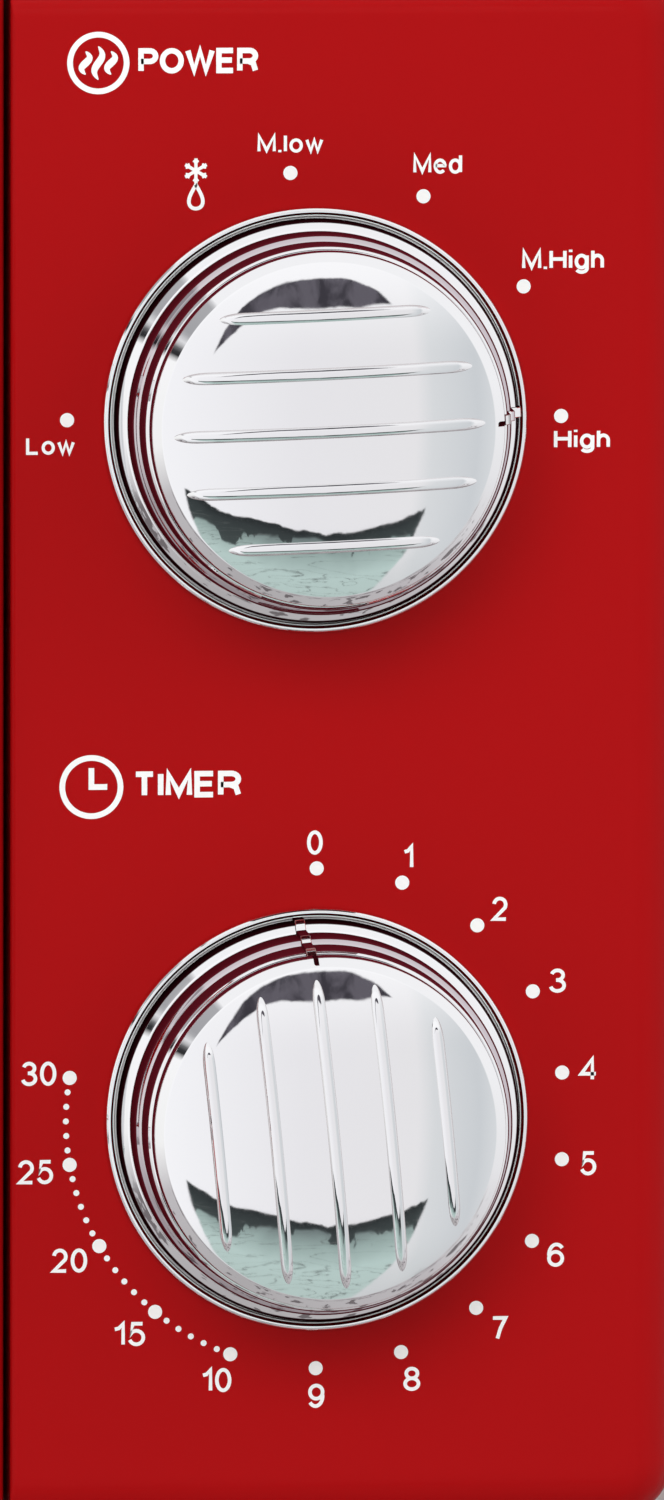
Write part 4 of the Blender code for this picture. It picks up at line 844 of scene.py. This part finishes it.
def knob(name):
    centre = DIALS[name]
    body = lathe(f"{name}_knob_body", knob_profile(), centre, "-Y", 192, sharp=40)
    turn = Matrix.Translation(centre) @ Matrix.Rotation(REST_ANGLES[name], 4, "Y")
    outline = rounded_rectangle(spread(0.0004, 0.0008), (0.0266, 0.033), (0.00039, 0, 0, 0.00039), 6)
    notch = plate("notch", [outline], "Y", (-0.03, -0.0172))
    notch.data.transform(turn)
    cut(body, notch)
    details = [pointer()]
    for k in range(-2, 3):
        across = 0.009 * k
        details.append(crown_rib("rib", across, sqrt(0.0245**2 - across**2), 0.002, 0.0005))
    for detail in details:
        detail.data.transform(turn)
    knob_piece = joined(f"{name}_knob_dome", [body, *details])
    # the knob's finish carries painted reflections and painted shade on its walls and steps
    place(knob_piece, f"{name}_dial", "chrome", f"{name}_knob", look="dial_chrome")


# ---- print on the panel ----
INK = 0.00006
LAYER = 0.0000015


class Ink:
    """Flat print just proud of the panel. Each stroke lies a hair above the one before it."""

    def __init__(self):
        self.bm, self.count = bmesh.new(), 0

    def point(self, u, v):
        return self.bm.verts.new((u, Y_FRONT - INK - LAYER * (self.count % 24), v))

    def line(self, points, width, closed=False, taper=False):
        """A line with mitred corners and square ends, or with pointed ends."""
        self.count += 1
        path = [Vector(p) for p in points]
        sides = []
        for i, p in enumerate(path):
            before = path[i - 1] if i or closed else None
            after = path[(i + 1) % len(path)] if i < len(path) - 1 or closed else None
            runs = [(p - before).normalized()] if before else []
            runs += [(after - p).normalized()] if after else []
            run = sum(runs, Vector((0, 0))).normalized()
            across = Vector((-run.y, run.x))
            reach = width / 2 / max(abs(across.dot(Vector((-runs[0].y, runs[0].x)))), 0.45)
            if taper:
                reach *= 0.12 + 0.88 * sin(pi * i / (len(path) - 1)) ** 0.7
            sides.append((self.point(*(p + across * reach)), self.point(*(p - across * reach))))
        for a, b in zip(sides, sides[1:] + (sides[:1] if closed else [])):
            self.bm.faces.new((a[0], b[0], b[1], a[1]))

    def disc(self, centre, radius, segments=28):
        self.count += 1
        self.bm.faces.new([self.point(*p) for p in circle(*centre, radius, segments)])

    def ring(self, centre, radius, width):
        self.line(circle(*centre, radius, 96), width, closed=True)


def arc(u, v, ru, rv, start, end, steps=16):
    turns = [radians(start + (end - start) * k / steps) for k in range(steps + 1)]
    return [(u + ru * cos(a), v + rv * sin(a)) for a in turns]


def oval(u, v, ru, rv):
    return arc(u, v, ru, rv, 0, 360, 32)


BOWL = [(0, 0.47), (0, 1), (0.56, 1), *arc(0.6, 0.735, 0.4, 0.265, 80, -80, 8), (0.56, 0.47), (0, 0.47)]
# each sign: its width in cap heights, then its lines in a box one wide and one cap height tall
SIGNS = {
    "0": (0.54, [oval(0.5, 0.5, 0.5, 0.5)]),
    "1": (0.32, [[(0, 0.74), (0.5, 0.79), (1, 1), (1, 0)]]),
    "2": (0.52, [[*arc(0.5, 0.7, 0.48, 0.3, 172, -32), (0, 0), (1, 0)]]),
    "3": (0.52, [[*arc(0.48, 0.765, 0.44, 0.235, 165, -90), (0.38, 0.53)],
                 [(0.38, 0.53), *arc(0.48, 0.265, 0.52, 0.265, 90, -168)]]),
    "4": (0.56, [[(0.76, 0), (0.76, 1), (0, 0.27), (1, 0.27)]]),
    "5": (0.52, [[(0.92, 1), (0.2, 1), (0.07, 0.5), *arc(0.46, 0.33, 0.52, 0.33, 128, -160)]]),
    "6": (0.53, [oval(0.5, 0.32, 0.48, 0.32), arc(0.56, 0.5, 0.54, 0.5, 40, 185)]),
    "7": (0.52, [[(0, 1), (1, 1), (0.6, 0.5), (0.36, 0)]]),
    "8": (0.53, [oval(0.5, 0.765, 0.42, 0.235), oval(0.5, 0.265, 0.5, 0.265)]),
    "9": (0.53, [oval(0.5, 0.68, 0.48, 0.32), arc(0.44, 0.5, 0.54, 0.5, 220, 365)]),
    "P": (0.58, [[(0, 0), *BOWL]]), "R": (0.62, [[(0, 0), *BOWL], [(0.52, 0.47), (0.86, 0.36), (1, 0)]]),
    "O": (0.74, [oval(0.5, 0.5, 0.5, 0.5)]), "I": (0, [[(0, 0), (0, 1)]]),
    "W": (0.96, [[(0, 1), (0.26, 0), (0.5, 1), (0.74, 0), (1, 1)]]),
    "E": (0.56, [[(1, 1), (0, 1), (0, 0), (1, 0)], [(0, 0.52), (0.92, 0.52)]]),
    "T": (0.6, [[(0, 1), (1, 1)], [(0.5, 1), (0.5, 0)]]),
    "M": (0.74, [[(0, 0), (0, 1), (0.5, 0.06), (1, 1), (1, 0)]]),
    "H": (0.64, [[(0, 0), (0, 1)], [(1, 0), (1, 1)], [(0, 0.52), (1, 0.52)]]),
    "L": (0.5, [[(0, 1), (0, 0), (1, 0)]]), "l": (0, [[(0, 0), (0, 1)]]),
    "o": (0.5, [oval(0.5, 0.36, 0.5, 0.36)]),
    "w": (0.72, [[(0, 0.72), (0.27, 0), (0.5, 0.7), (0.73, 0), (1, 0.72)]]),
    "e": (0.48, [[(0.04, 0.39), (0.98, 0.39), *arc(0.5, 0.36, 0.5, 0.36, 10, 318, 28)]]),
    "d": (0.5, [oval(0.48, 0.36, 0.48, 0.36), [(1, 0), (1, 1)]]),
    "g": (0.5, [oval(0.48, 0.36, 0.48, 0.36),
                 [(1, 0.72), (1, -0.02), *arc(0.5, -0.04, 0.5, 0.22, 0, -155)]]),
    "h": (0.44, [[(0, 0), (0, 1)], [*arc(0.5, 0.42, 0.5, 0.3, 180, 0), (1, 0)]]),
    "i": (0, [[(0, 0), (0, 0.72)], [(0, 0.93), (0, 1.07)]]), ".": (0, [[(0, -0.07), (0, 0.08)]]),
}


def lettering(ink, text, centre, width, height, weight):
    """A word or number drawn to a width and height, line width included, about its centre."""
    gap, lines, at = 0.27, [], 0.0
    for sign in text:
        wide, drawn = SIGNS[sign]
        lines += [[(at + u * (wide or 1), v) for u, v in line] for line in drawn]
        at += wide + gap
    points = [p for line in lines for p in line]
    low, high = [min(p[i] for p in points) for i in (0, 1)], [max(p[i] for p in points) for i in (0, 1)]
    scale = ((width - weight) / max(high[0] - low[0], 0.01), (height - weight) / (high[1] - low[1]))
    middle = ((low[0] + high[0]) / 2, (low[1] + high[1]) / 2)
    for line in lines:
        placed = [tuple(centre[i] + (p[i] - middle[i]) * scale[i] for i in (0, 1)) for p in line]
        closed = (Vector(placed[0]) - Vector(placed[-1])).length < 1e-7
        ink.line(placed[:-1] if closed else placed, weight, closed)


def polar(centre, radius, degrees):
    """A point at an angle clockwise from the top."""
    a = radians(degrees)
    return (centre[0] + radius * sin(a), centre[1] + radius * cos(a))


def panel_print():
    timer = Vector((DIALS["timer"].x, DIALS["timer"].z))
    power = Vector((DIALS["power"].x, DIALS["power"].z))

    def at(x, z):
        return (timer.x + x * MM, timer.y + z * MM)

    ink = Ink()
    # each word: its centre from the timer's, width, height and line weight in millimetres
    words = [
        ("POWER", -18.95, 167.2, 18.9, 4.0, 0.86), ("TIMER", -20.55, 53.2, 17.1, 4.2, 0.88),
        ("M.low", -4.4, 154.05, 10.4, 3.1, 0.5), ("Med", 18.9, 150.8, 7.75, 3.15, 0.52),
        ("M.High", 38.8, 135.4, 13.0, 4.1, 0.56), ("High", 41.9, 107.05, 8.9, 3.95, 0.56),
        ("Low", -42.2, 106.8, 7.7, 2.84, 0.5),
    ]
    minutes = [
        ("0", -0.3, 43.8, 2.5), ("1", 14.5, 41.4, 1.7), ("2", 29.1, 33.0, 2.5), ("3", 38.3, 21.5, 2.7),
        ("4", 43.3, 7.4, 2.9), ("5", 43.3, -7.6, 2.6), ("6", 38.15, -22.1, 2.7), ("7", 29.2, -33.7, 2.6),
        ("8", 15.3, -41.6, 2.7), ("9", 0.1, -44.1, 2.6), ("10", -15.8, -41.4, 4.8),
        ("15", -29.65, -33.9, 5.1), ("20", -39.1, -22.1, 5.6), ("25", -44.5, -8.0, 5.6),
        ("30", -44.0, 7.6, 5.6),
    ]
    for text, x, z, wide, high, weight in words + [(*sign, 3.85, 0.58) for sign in minutes]:
        lettering(ink, text, at(x, z), wide * MM, high * MM, weight * MM)
    scale_r, dot_r = 0.0397, 0.00112
    for k in range(15):
        ink.disc(polar(timer, scale_r, 20 * k), dot_r)
    for k in range(10, 14):
        for small in range(1, 6):
            ink.disc(polar(timer, scale_r, 20 * (k + small / 6)), 0.00048, 16)
    for angle in (-89.7, -5.7, 26.05, 57.8, 89.5):
        ink.disc(polar(power, 0.03908, angle), dot_r)
    line = 0.0009
    flame, clock = at(-34.7, 166.9), at(-35.7, 52.9)
    ink.ring(flame, 0.0049 - line / 2, line)
    for k, tall in ((-1, 3.6), (0, 5.2), (1, 3.6)):
        wave = [
            (flame[0] + (2.0 * k - 0.62 * sin(t * 2 * pi)) * MM, flame[1] + tall * (t - 0.5) * MM)
            for t in (i / 20 for i in range(21))
        ]
        ink.line(wave, 0.00115, taper=True)
    ink.ring(clock, 0.00505 - line / 2, line)
    ink.line([(clock[0], clock[1] + 0.003), clock, (clock[0] + 0.0025, clock[1])], line)
    flake, drop = at(-19.3, 149.9), at(-19.3, 145.95)
    for k in range(3):
        ink.line([polar(flake, side * 0.00195, 60 * k) for side in (-1, 1)], 0.00052)
        for side in (-1, 1):
            fork = polar(flake, side * 0.0011, 60 * k)
            tips = [polar(fork, side * 0.00066, 60 * k + lean) for lean in (-38, 38)]
            ink.line([tips[0], fork, tips[1]], 0.0003)
    outline = [
        (drop[0] + 0.00155 * sin(t) * sin(t / 2) ** 1.4, drop[1] - 0.0001 + 0.0019 * cos(t))
        for t in (2 * pi * i / 32 for i in range(32))
    ]
    ink.line(outline, 0.00058, closed=True)
    place(new_object("panel_print", ink.bm), "chassis", "white_plastic", look="print_white")


# ---- cabinet ----
def outer_cover():
    """The pressed steel wrap, with rounded louvre slots."""
    x, y, z = COVER
    segments = 14
    n = segments + 1
    wrap = []
    for inset, order in ((0, 1), (SHEET, -1)):
        corner = COVER_CORNER - inset
        arch = rounded_rectangle(grow(x, -inset), (z[0], z[1] - inset), (0, 0, corner, corner), segments)
        side = [arch[n]] + arch[2 * n:4 * n] + [arch[0]]
        wrap += side[::order]
    cover = plate("cover_wrap", [wrap], "Y", y)
    cutters = []
    for side_x, rows in ((x[1], 2), (x[0], 1)):
        for row in range(rows):
            along = spread(REAR[1][1] - 0.04 - 0.04 * row, 0.03)
            for k in range(9):
                slot = rounded_rectangle(along, spread(TOP - 0.139 + 0.011 * k, 0.003), 0.00149, 6)
                cutters.append(plate("louvre", [slot], "X", spread(side_x, 0.01)))
    cover = cut(cover, joined("louvres", cutters))
    place(flat_faces(cover), "chassis", "red_enamel", "outer_cover")


def feet():
    for node in ("foot_front_left", "foot_rear_left", "foot_front_right", "foot_rear_right"):
        x, y, z = limits(node)
        wide = (x[1] - x[0]) / 2
        high = z[1] - z[0]
        profile = fillet([
            (0, high, 0), (wide, high, 0.0003), (wide, high * 0.5, 0.001), (wide * 0.86, 0, 0.0009),
            (wide * 0.55, 0, 0.0004), (wide * 0.48, 0.0026, 0.0004), (0, 0.0026, 0),
        ], 4)
        foot = lathe(f"{node}_rubber", profile, (mid(x), mid(y), z[0]), "+Z", 48)
        place(foot, "chassis", "rubber", node)


def screw_head(centre, axis, radius=0.0034, height=0.0019):
    profile = fillet([(0, height, 0), (radius * 0.55, height * 0.96, 0.002), (radius, 0.0004, 0.0006),
                      (radius, 0, 0), (0, 0, 0)], 4)
    head = lathe("screw", profile, (0, 0, 0), "+Z", 24)
    long, thin, deep = spread(0, radius * 1.1), spread(0, 0.0006), (height - 0.0009, height + 0.001)
    cut(head, boxes("slot", [(long, thin, deep)]), boxes("slot", [(thin, long, deep)]))
    head.data.transform(Matrix.Translation(centre) @ towards(axis))
    return head


def screws():
    """The screws in the rear panel and under the base."""
    rear = REAR[1][1]
    x, z = grow(REAR[0], -0.008), (REAR[2][0] + 0.012, REAR[2][1] - 0.012)
    shroud = limits("fan_shroud")
    spots = [(u, v) for u in x for v in (z[0], mid(z), z[1])]
    spots += [(u, z[1] + 0.004) for u in (-0.075, 0.075)]
    spots += [(u, v) for u in grow(shroud[0], -0.006) for v in grow(shroud[2], -0.006)]
    heads = [screw_head((u, rear, v), "+Y") for u, v in spots]
    base = limits("base_plate")
    under = [(u, v) for u in (-0.19, -0.06, 0.07, 0.2) for v in grow(base[1], -0.008)]
    heads += [screw_head((u, v, base[2][0]), "-Z") for u, v in under]
    place(joined("screws", heads), "chassis", "zinc_steel")


def glass_plate():
    """The turntable: thin glass with a raised rim and a moulded ring where the rollers run."""
    x, y, z = limits("turntable_plate")
    r = (x[1] - x[0]) / 2
    low = limits("turntable_coupler")[2][1] + SEAM
    top = low + 0.0045
    profile = fillet([
        (0, top, 0), (r - 0.02, top, 0.001), (r - 0.0165, top + 0.0003, 0.004),
        (r - 0.0105, top + 0.0015, 0.006), (r - 0.003, z[1] - 0.0004, 0.003), (r - 0.001, z[1], 0.0008),
        (r, z[1] - 0.0012, 0.0008), (r - 0.0012, z[1] - 0.0035, 0.002), (r - 0.0085, low + 0.0008, 0.005),
        (r - 0.0115, low, 0.002), (0, low, 0),
    ], 5)
    centre = (mid(x), mid(y), 0)
    plain = lathe("turntable_glass", profile, centre, "+Z", 128)
    lugs = []
    for k in range(3):
        angle = radians(60 + 120 * k)
        spot = (centre[0] + 0.014 * cos(angle), centre[1] + 0.014 * sin(angle), z[0])
        height = low - z[0] + 0.0004
        lug = fillet([(0, height, 0), (0.003, height, 0), (0.003, 0, 0.0006), (0, 0, 0)], 3)
        lugs.append(lathe(f"lug_{k}", lug, spot, "+Z", 24))
    place(joined("turntable_glass_plate", [plain, *lugs]), "turntable", "clear_glass", "turntable_plate")


# ---- studio ----
CAMERA_AT = (-0.15248, -2.953, 0.40868)
CAMERA_FORWARD = (0.11311, 0.98887, -0.09665)
CAMERA_UP = (0.00887, 0.09626, 0.99532)
LENS = 431.45


def camera():
    data = bpy.data.cameras.new("camera")
    data.sensor_width = 36
    data.sensor_fit = "AUTO"
    data.lens = LENS
    data.clip_start, data.clip_end = 0.1, 400
    obj = in_scene("camera", data)
    forward, up = Vector(CAMERA_FORWARD), Vector(CAMERA_UP)
    right = forward.cross(up).normalized()
    up = right.cross(forward).normalized()
    turn = Matrix((right, up, -forward.normalized())).transposed().to_4x4()
    obj.matrix_world = Matrix.Translation(CAMERA_AT) @ turn
    bpy.context.scene.camera = obj


def floor():
    bm = bmesh.new()
    bmesh.ops.create_grid(bm, x_segments=1, y_segments=1, size=60)
    obj = new_object("floor", bm)
    paper = surface("floor_paper", (0.74, 0.74, 0.73), 0.9, specular=0.0, vary=0.01, broad=0.6)[0]
    obj.data.materials.append(paper)
    obj.visible_glossy = False


def studio_panels():
    """The light of the studio by direction: straight ahead lies the front, round it the rim.

    Angles are in degrees: level and side from straight ahead, off for both together, and clock
    for the direction round the dials.
    """
    made = bpy.data.materials.new("studio_panels")
    t = Tree(made)
    t.tree.nodes.remove(t.shader)
    where = t.node("TexCoord").outputs["Object"]
    unit = t.node("VectorMath", operation="NORMALIZE")
    t.link(where, unit.inputs[0])
    x, y, z = t.xyz(unit.outputs[0])
    degrees = 180 / pi
    level = t.times(t.math("ARCSINE", z), degrees)
    side = t.times(t.math("ARCTAN2", x, t.times(y, -1)), degrees)
    off = t.times(t.math("ARCCOSINE", t.times(y, -1)), degrees)
    clock = t.times(t.math("ARCTAN2", x, z), degrees)
    rough = t.minus(t.noise(t.stretched(where, (0.6, 0.6, 0.6)), 0.9, 5.0, 0.6), 0.5)
    streak = t.noise(t.stretched(where, (1.0, 1.0, 0.22)), 1.1, 4.0, 0.4)
    wrinkle = t.noise(t.stretched(where, (0.25, 0.25, 2.2)), 0.9, 3.0, 1.6)

    def bend(about, share):
        """How far a level line curves away from straight, growing with the square of the side."""
        away = t.minus(side, about)
        return t.times(t.times(away, away), share)

    # the white tent, through whose oval opening the room shows above and below the centre
    centre = t.plus(t.times(t.math("MAXIMUM", level, 0), 0.1), 1.5)
    wide = t.between(level, -8, 8, 28.5, 24.0)
    across = t.over(t.gap(side, centre), wide)
    up = t.over(t.math("MAXIMUM", t.plus(level, 8.0), 0), 37.5)
    down = t.over(t.math("MAXIMUM", t.minus(-8.0, level), 0), 38.0)
    opening = t.plus(t.math("POWER", up, 3.0), t.math("POWER", down, 2.0))
    opening = t.plus(opening, t.math("POWER", across, 2.5))
    inside = t.between(t.plus(opening, t.times(rough, 0.12)), 0.97, 1.02, 1, 0)
    tent = t.ramp(t.over(t.plus(side, 90), 180), [
        (0.2, 1.08, 1.08, 1.1), (0.33, 1.02, 1.02, 1.05), (0.5, 0.9, 0.89, 0.92),
        (0.64, 0.88, 0.87, 0.89), (0.66, 0.76, 0.78, 0.8), (0.72, 0.66, 0.69, 0.72),
        (0.8, 0.98, 0.99, 1.0),
    ])
    tent = t.mix(t.between(level, 10, 34, 0, 0.85), tent, (1.1, 1.1, 1.12))
    tent = t.mix(t.between(level, -24, -42, 0, 0.8), tent, (0.62, 0.65, 0.66))
    # above: a dark ceiling
    left_away = t.math("MINIMUM", t.plus(side, 3), 0)
    drop = t.times(t.times(left_away, left_away), 0.036)
    above = t.plus(t.plus(level, drop), t.times(rough, 2.0))
    ceiling = t.times(t.between(above, 22.2, 22.9), inside)
    shade = t.mix(t.between(streak, 0.4, 0.6), (0.05, 0.046, 0.058), (0.13, 0.12, 0.145))
    front = t.mix(ceiling, tent, shade)
    # below: a dark edge, then a creased grey-green cloth
    under = t.minus(t.minus(level, bend(5, 0.01)), t.times(rough, 4.0))
    under = t.minus(under, 1.8)
    cloth = t.ramp(t.over(t.plus(under, 60), 60), [
        (0.2, 0.5, 0.62, 0.59), (0.36, 0.52, 0.66, 0.63), (0.44, 0.34, 0.44, 0.42),
        (0.505, 0.17, 0.21, 0.21), (0.525, 0.015, 0.015, 0.016), (0.545, 0.01, 0.01, 0.011),
    ])
    reach = t.times(t.gap(side, 4), 0.13)
    reach = t.plus(reach, t.between(streak, 0.48, 0.6, 0.2, 3.5))
    dark = t.times(t.between(t.plus(under, reach), -29.6, -28.6), 0.9)
    cloth = t.mix(dark, cloth, (0.03, 0.036, 0.038))
    fold = t.between(t.gap(wrinkle, 0.5), 0.0, 0.016, 0.75, 0.0)
    cloth = t.mix(t.times(fold, t.between(under, -31, -30, 1, 0)), cloth, (0.12, 0.13, 0.13))
    below = t.times(t.between(under, -28.2, -27.7, 1, 0), inside)
    front = t.mix(below, front, cloth)
    # round the rim: white, with a grey gap at the upper left and darker folds low down
    around = t.ramp(t.over(t.plus(clock, 180), 360), [
        (0.0, 0.5, 0.48, 0.49), (0.06, 0.46, 0.44, 0.45), (0.17, 0.58, 0.56, 0.58),
        (0.22, 1.0, 1.0, 1.0), (0.315, 1.05, 1.05, 1.06), (0.318, 0.02, 0.02, 0.022),
        (0.327, 0.05, 0.05, 0.055), (0.335, 0.85, 0.85, 0.87), (0.345, 0.4, 0.4, 0.42),
        (0.385, 0.46, 0.46, 0.48), (0.39, 1.0, 1.0, 1.02), (0.6, 1.0, 1.0, 1.02),
        (0.72, 0.98, 0.98, 1.0), (0.8, 0.88, 0.88, 0.9), (0.9, 0.56, 0.53, 0.55),
        (1.0, 0.5, 0.48, 0.49),
    ])
    low_down = t.between(t.math("ABSOLUTE", clock), 112, 125)
    speck = t.times(t.between(streak, 0.56, 0.6, 0, 0.75), low_down)
    around = t.mix(speck, around, (0.06, 0.04, 0.045))
    around = t.mix(t.between(off, 112, 128, 0, 0.8), around, (0.2, 0.2, 0.205))
    shown = t.mix(t.between(off, 44, 52), front, around)
    glow = t.node("Emission")
    t.link(shown, glow.inputs["Color"])
    t.link(glow.outputs[0], t.tree.nodes["Material Output"].inputs["Surface"])
    return made


def reflections():
    """What bright metal sees: a studio of soft panels, shown to reflections only."""
    bm = bmesh.new()
    bmesh.ops.create_uvsphere(bm, u_segments=64, v_segments=32, radius=12)
    obj = new_object("reflection_shell", bm)
    obj.location = (DIALS["timer"].x, Y_FRONT, sum(DIALS[n].z for n in DIALS) / 2)
    obj.data.materials.append(studio_panels())
    obj.visible_camera = obj.visible_diffuse = obj.visible_shadow = False
    obj.visible_transmission = obj.visible_volume_scatter = False


def area_light(name, spot, target, size, power):
    data = bpy.data.lights.new(name, "AREA")
    data.shape = "RECTANGLE"
    data.size, data.size_y = size
    data.energy = power
    obj = in_scene(name, data)
    obj.location = spot
    obj.rotation_euler = (Vector(target) - Vector(spot)).to_track_quat("-Z", "Y").to_euler()
    obj.visible_camera = obj.visible_glossy = False


def studio():
    world = bpy.data.worlds.new("studio")
    world.use_nodes = True
    settle(world.node_tree.nodes["Background"], Color=(0.94, 0.94, 0.94, 1), Strength=0.52)
    bpy.context.scene.world = world
    bpy.context.scene.view_settings.view_transform = "Standard"
    area_light("key", (-0.5, -3.0, 1.75), (0.1, -0.1, 0.12), (2.8, 2.0), 70)
    area_light("fill", (2.2, -1.2, 1.4), (0, 0, 0.12), (1.5, 1.5), 9)
    area_light("back", (-1.5, 2.2, 1.8), (0, 0, 0.12), (1.5, 1.5), 9)
    floor()
    reflections()


finish_nodes()
control_panel()
door()
window_trim()
door_screen()
handle()
latch_spring()
for dial in DIALS:
    trim_ring(dial)
    knob(dial)
panel_print()
outer_cover()
feet()
screws()
glass_plate()
camera()
studio()
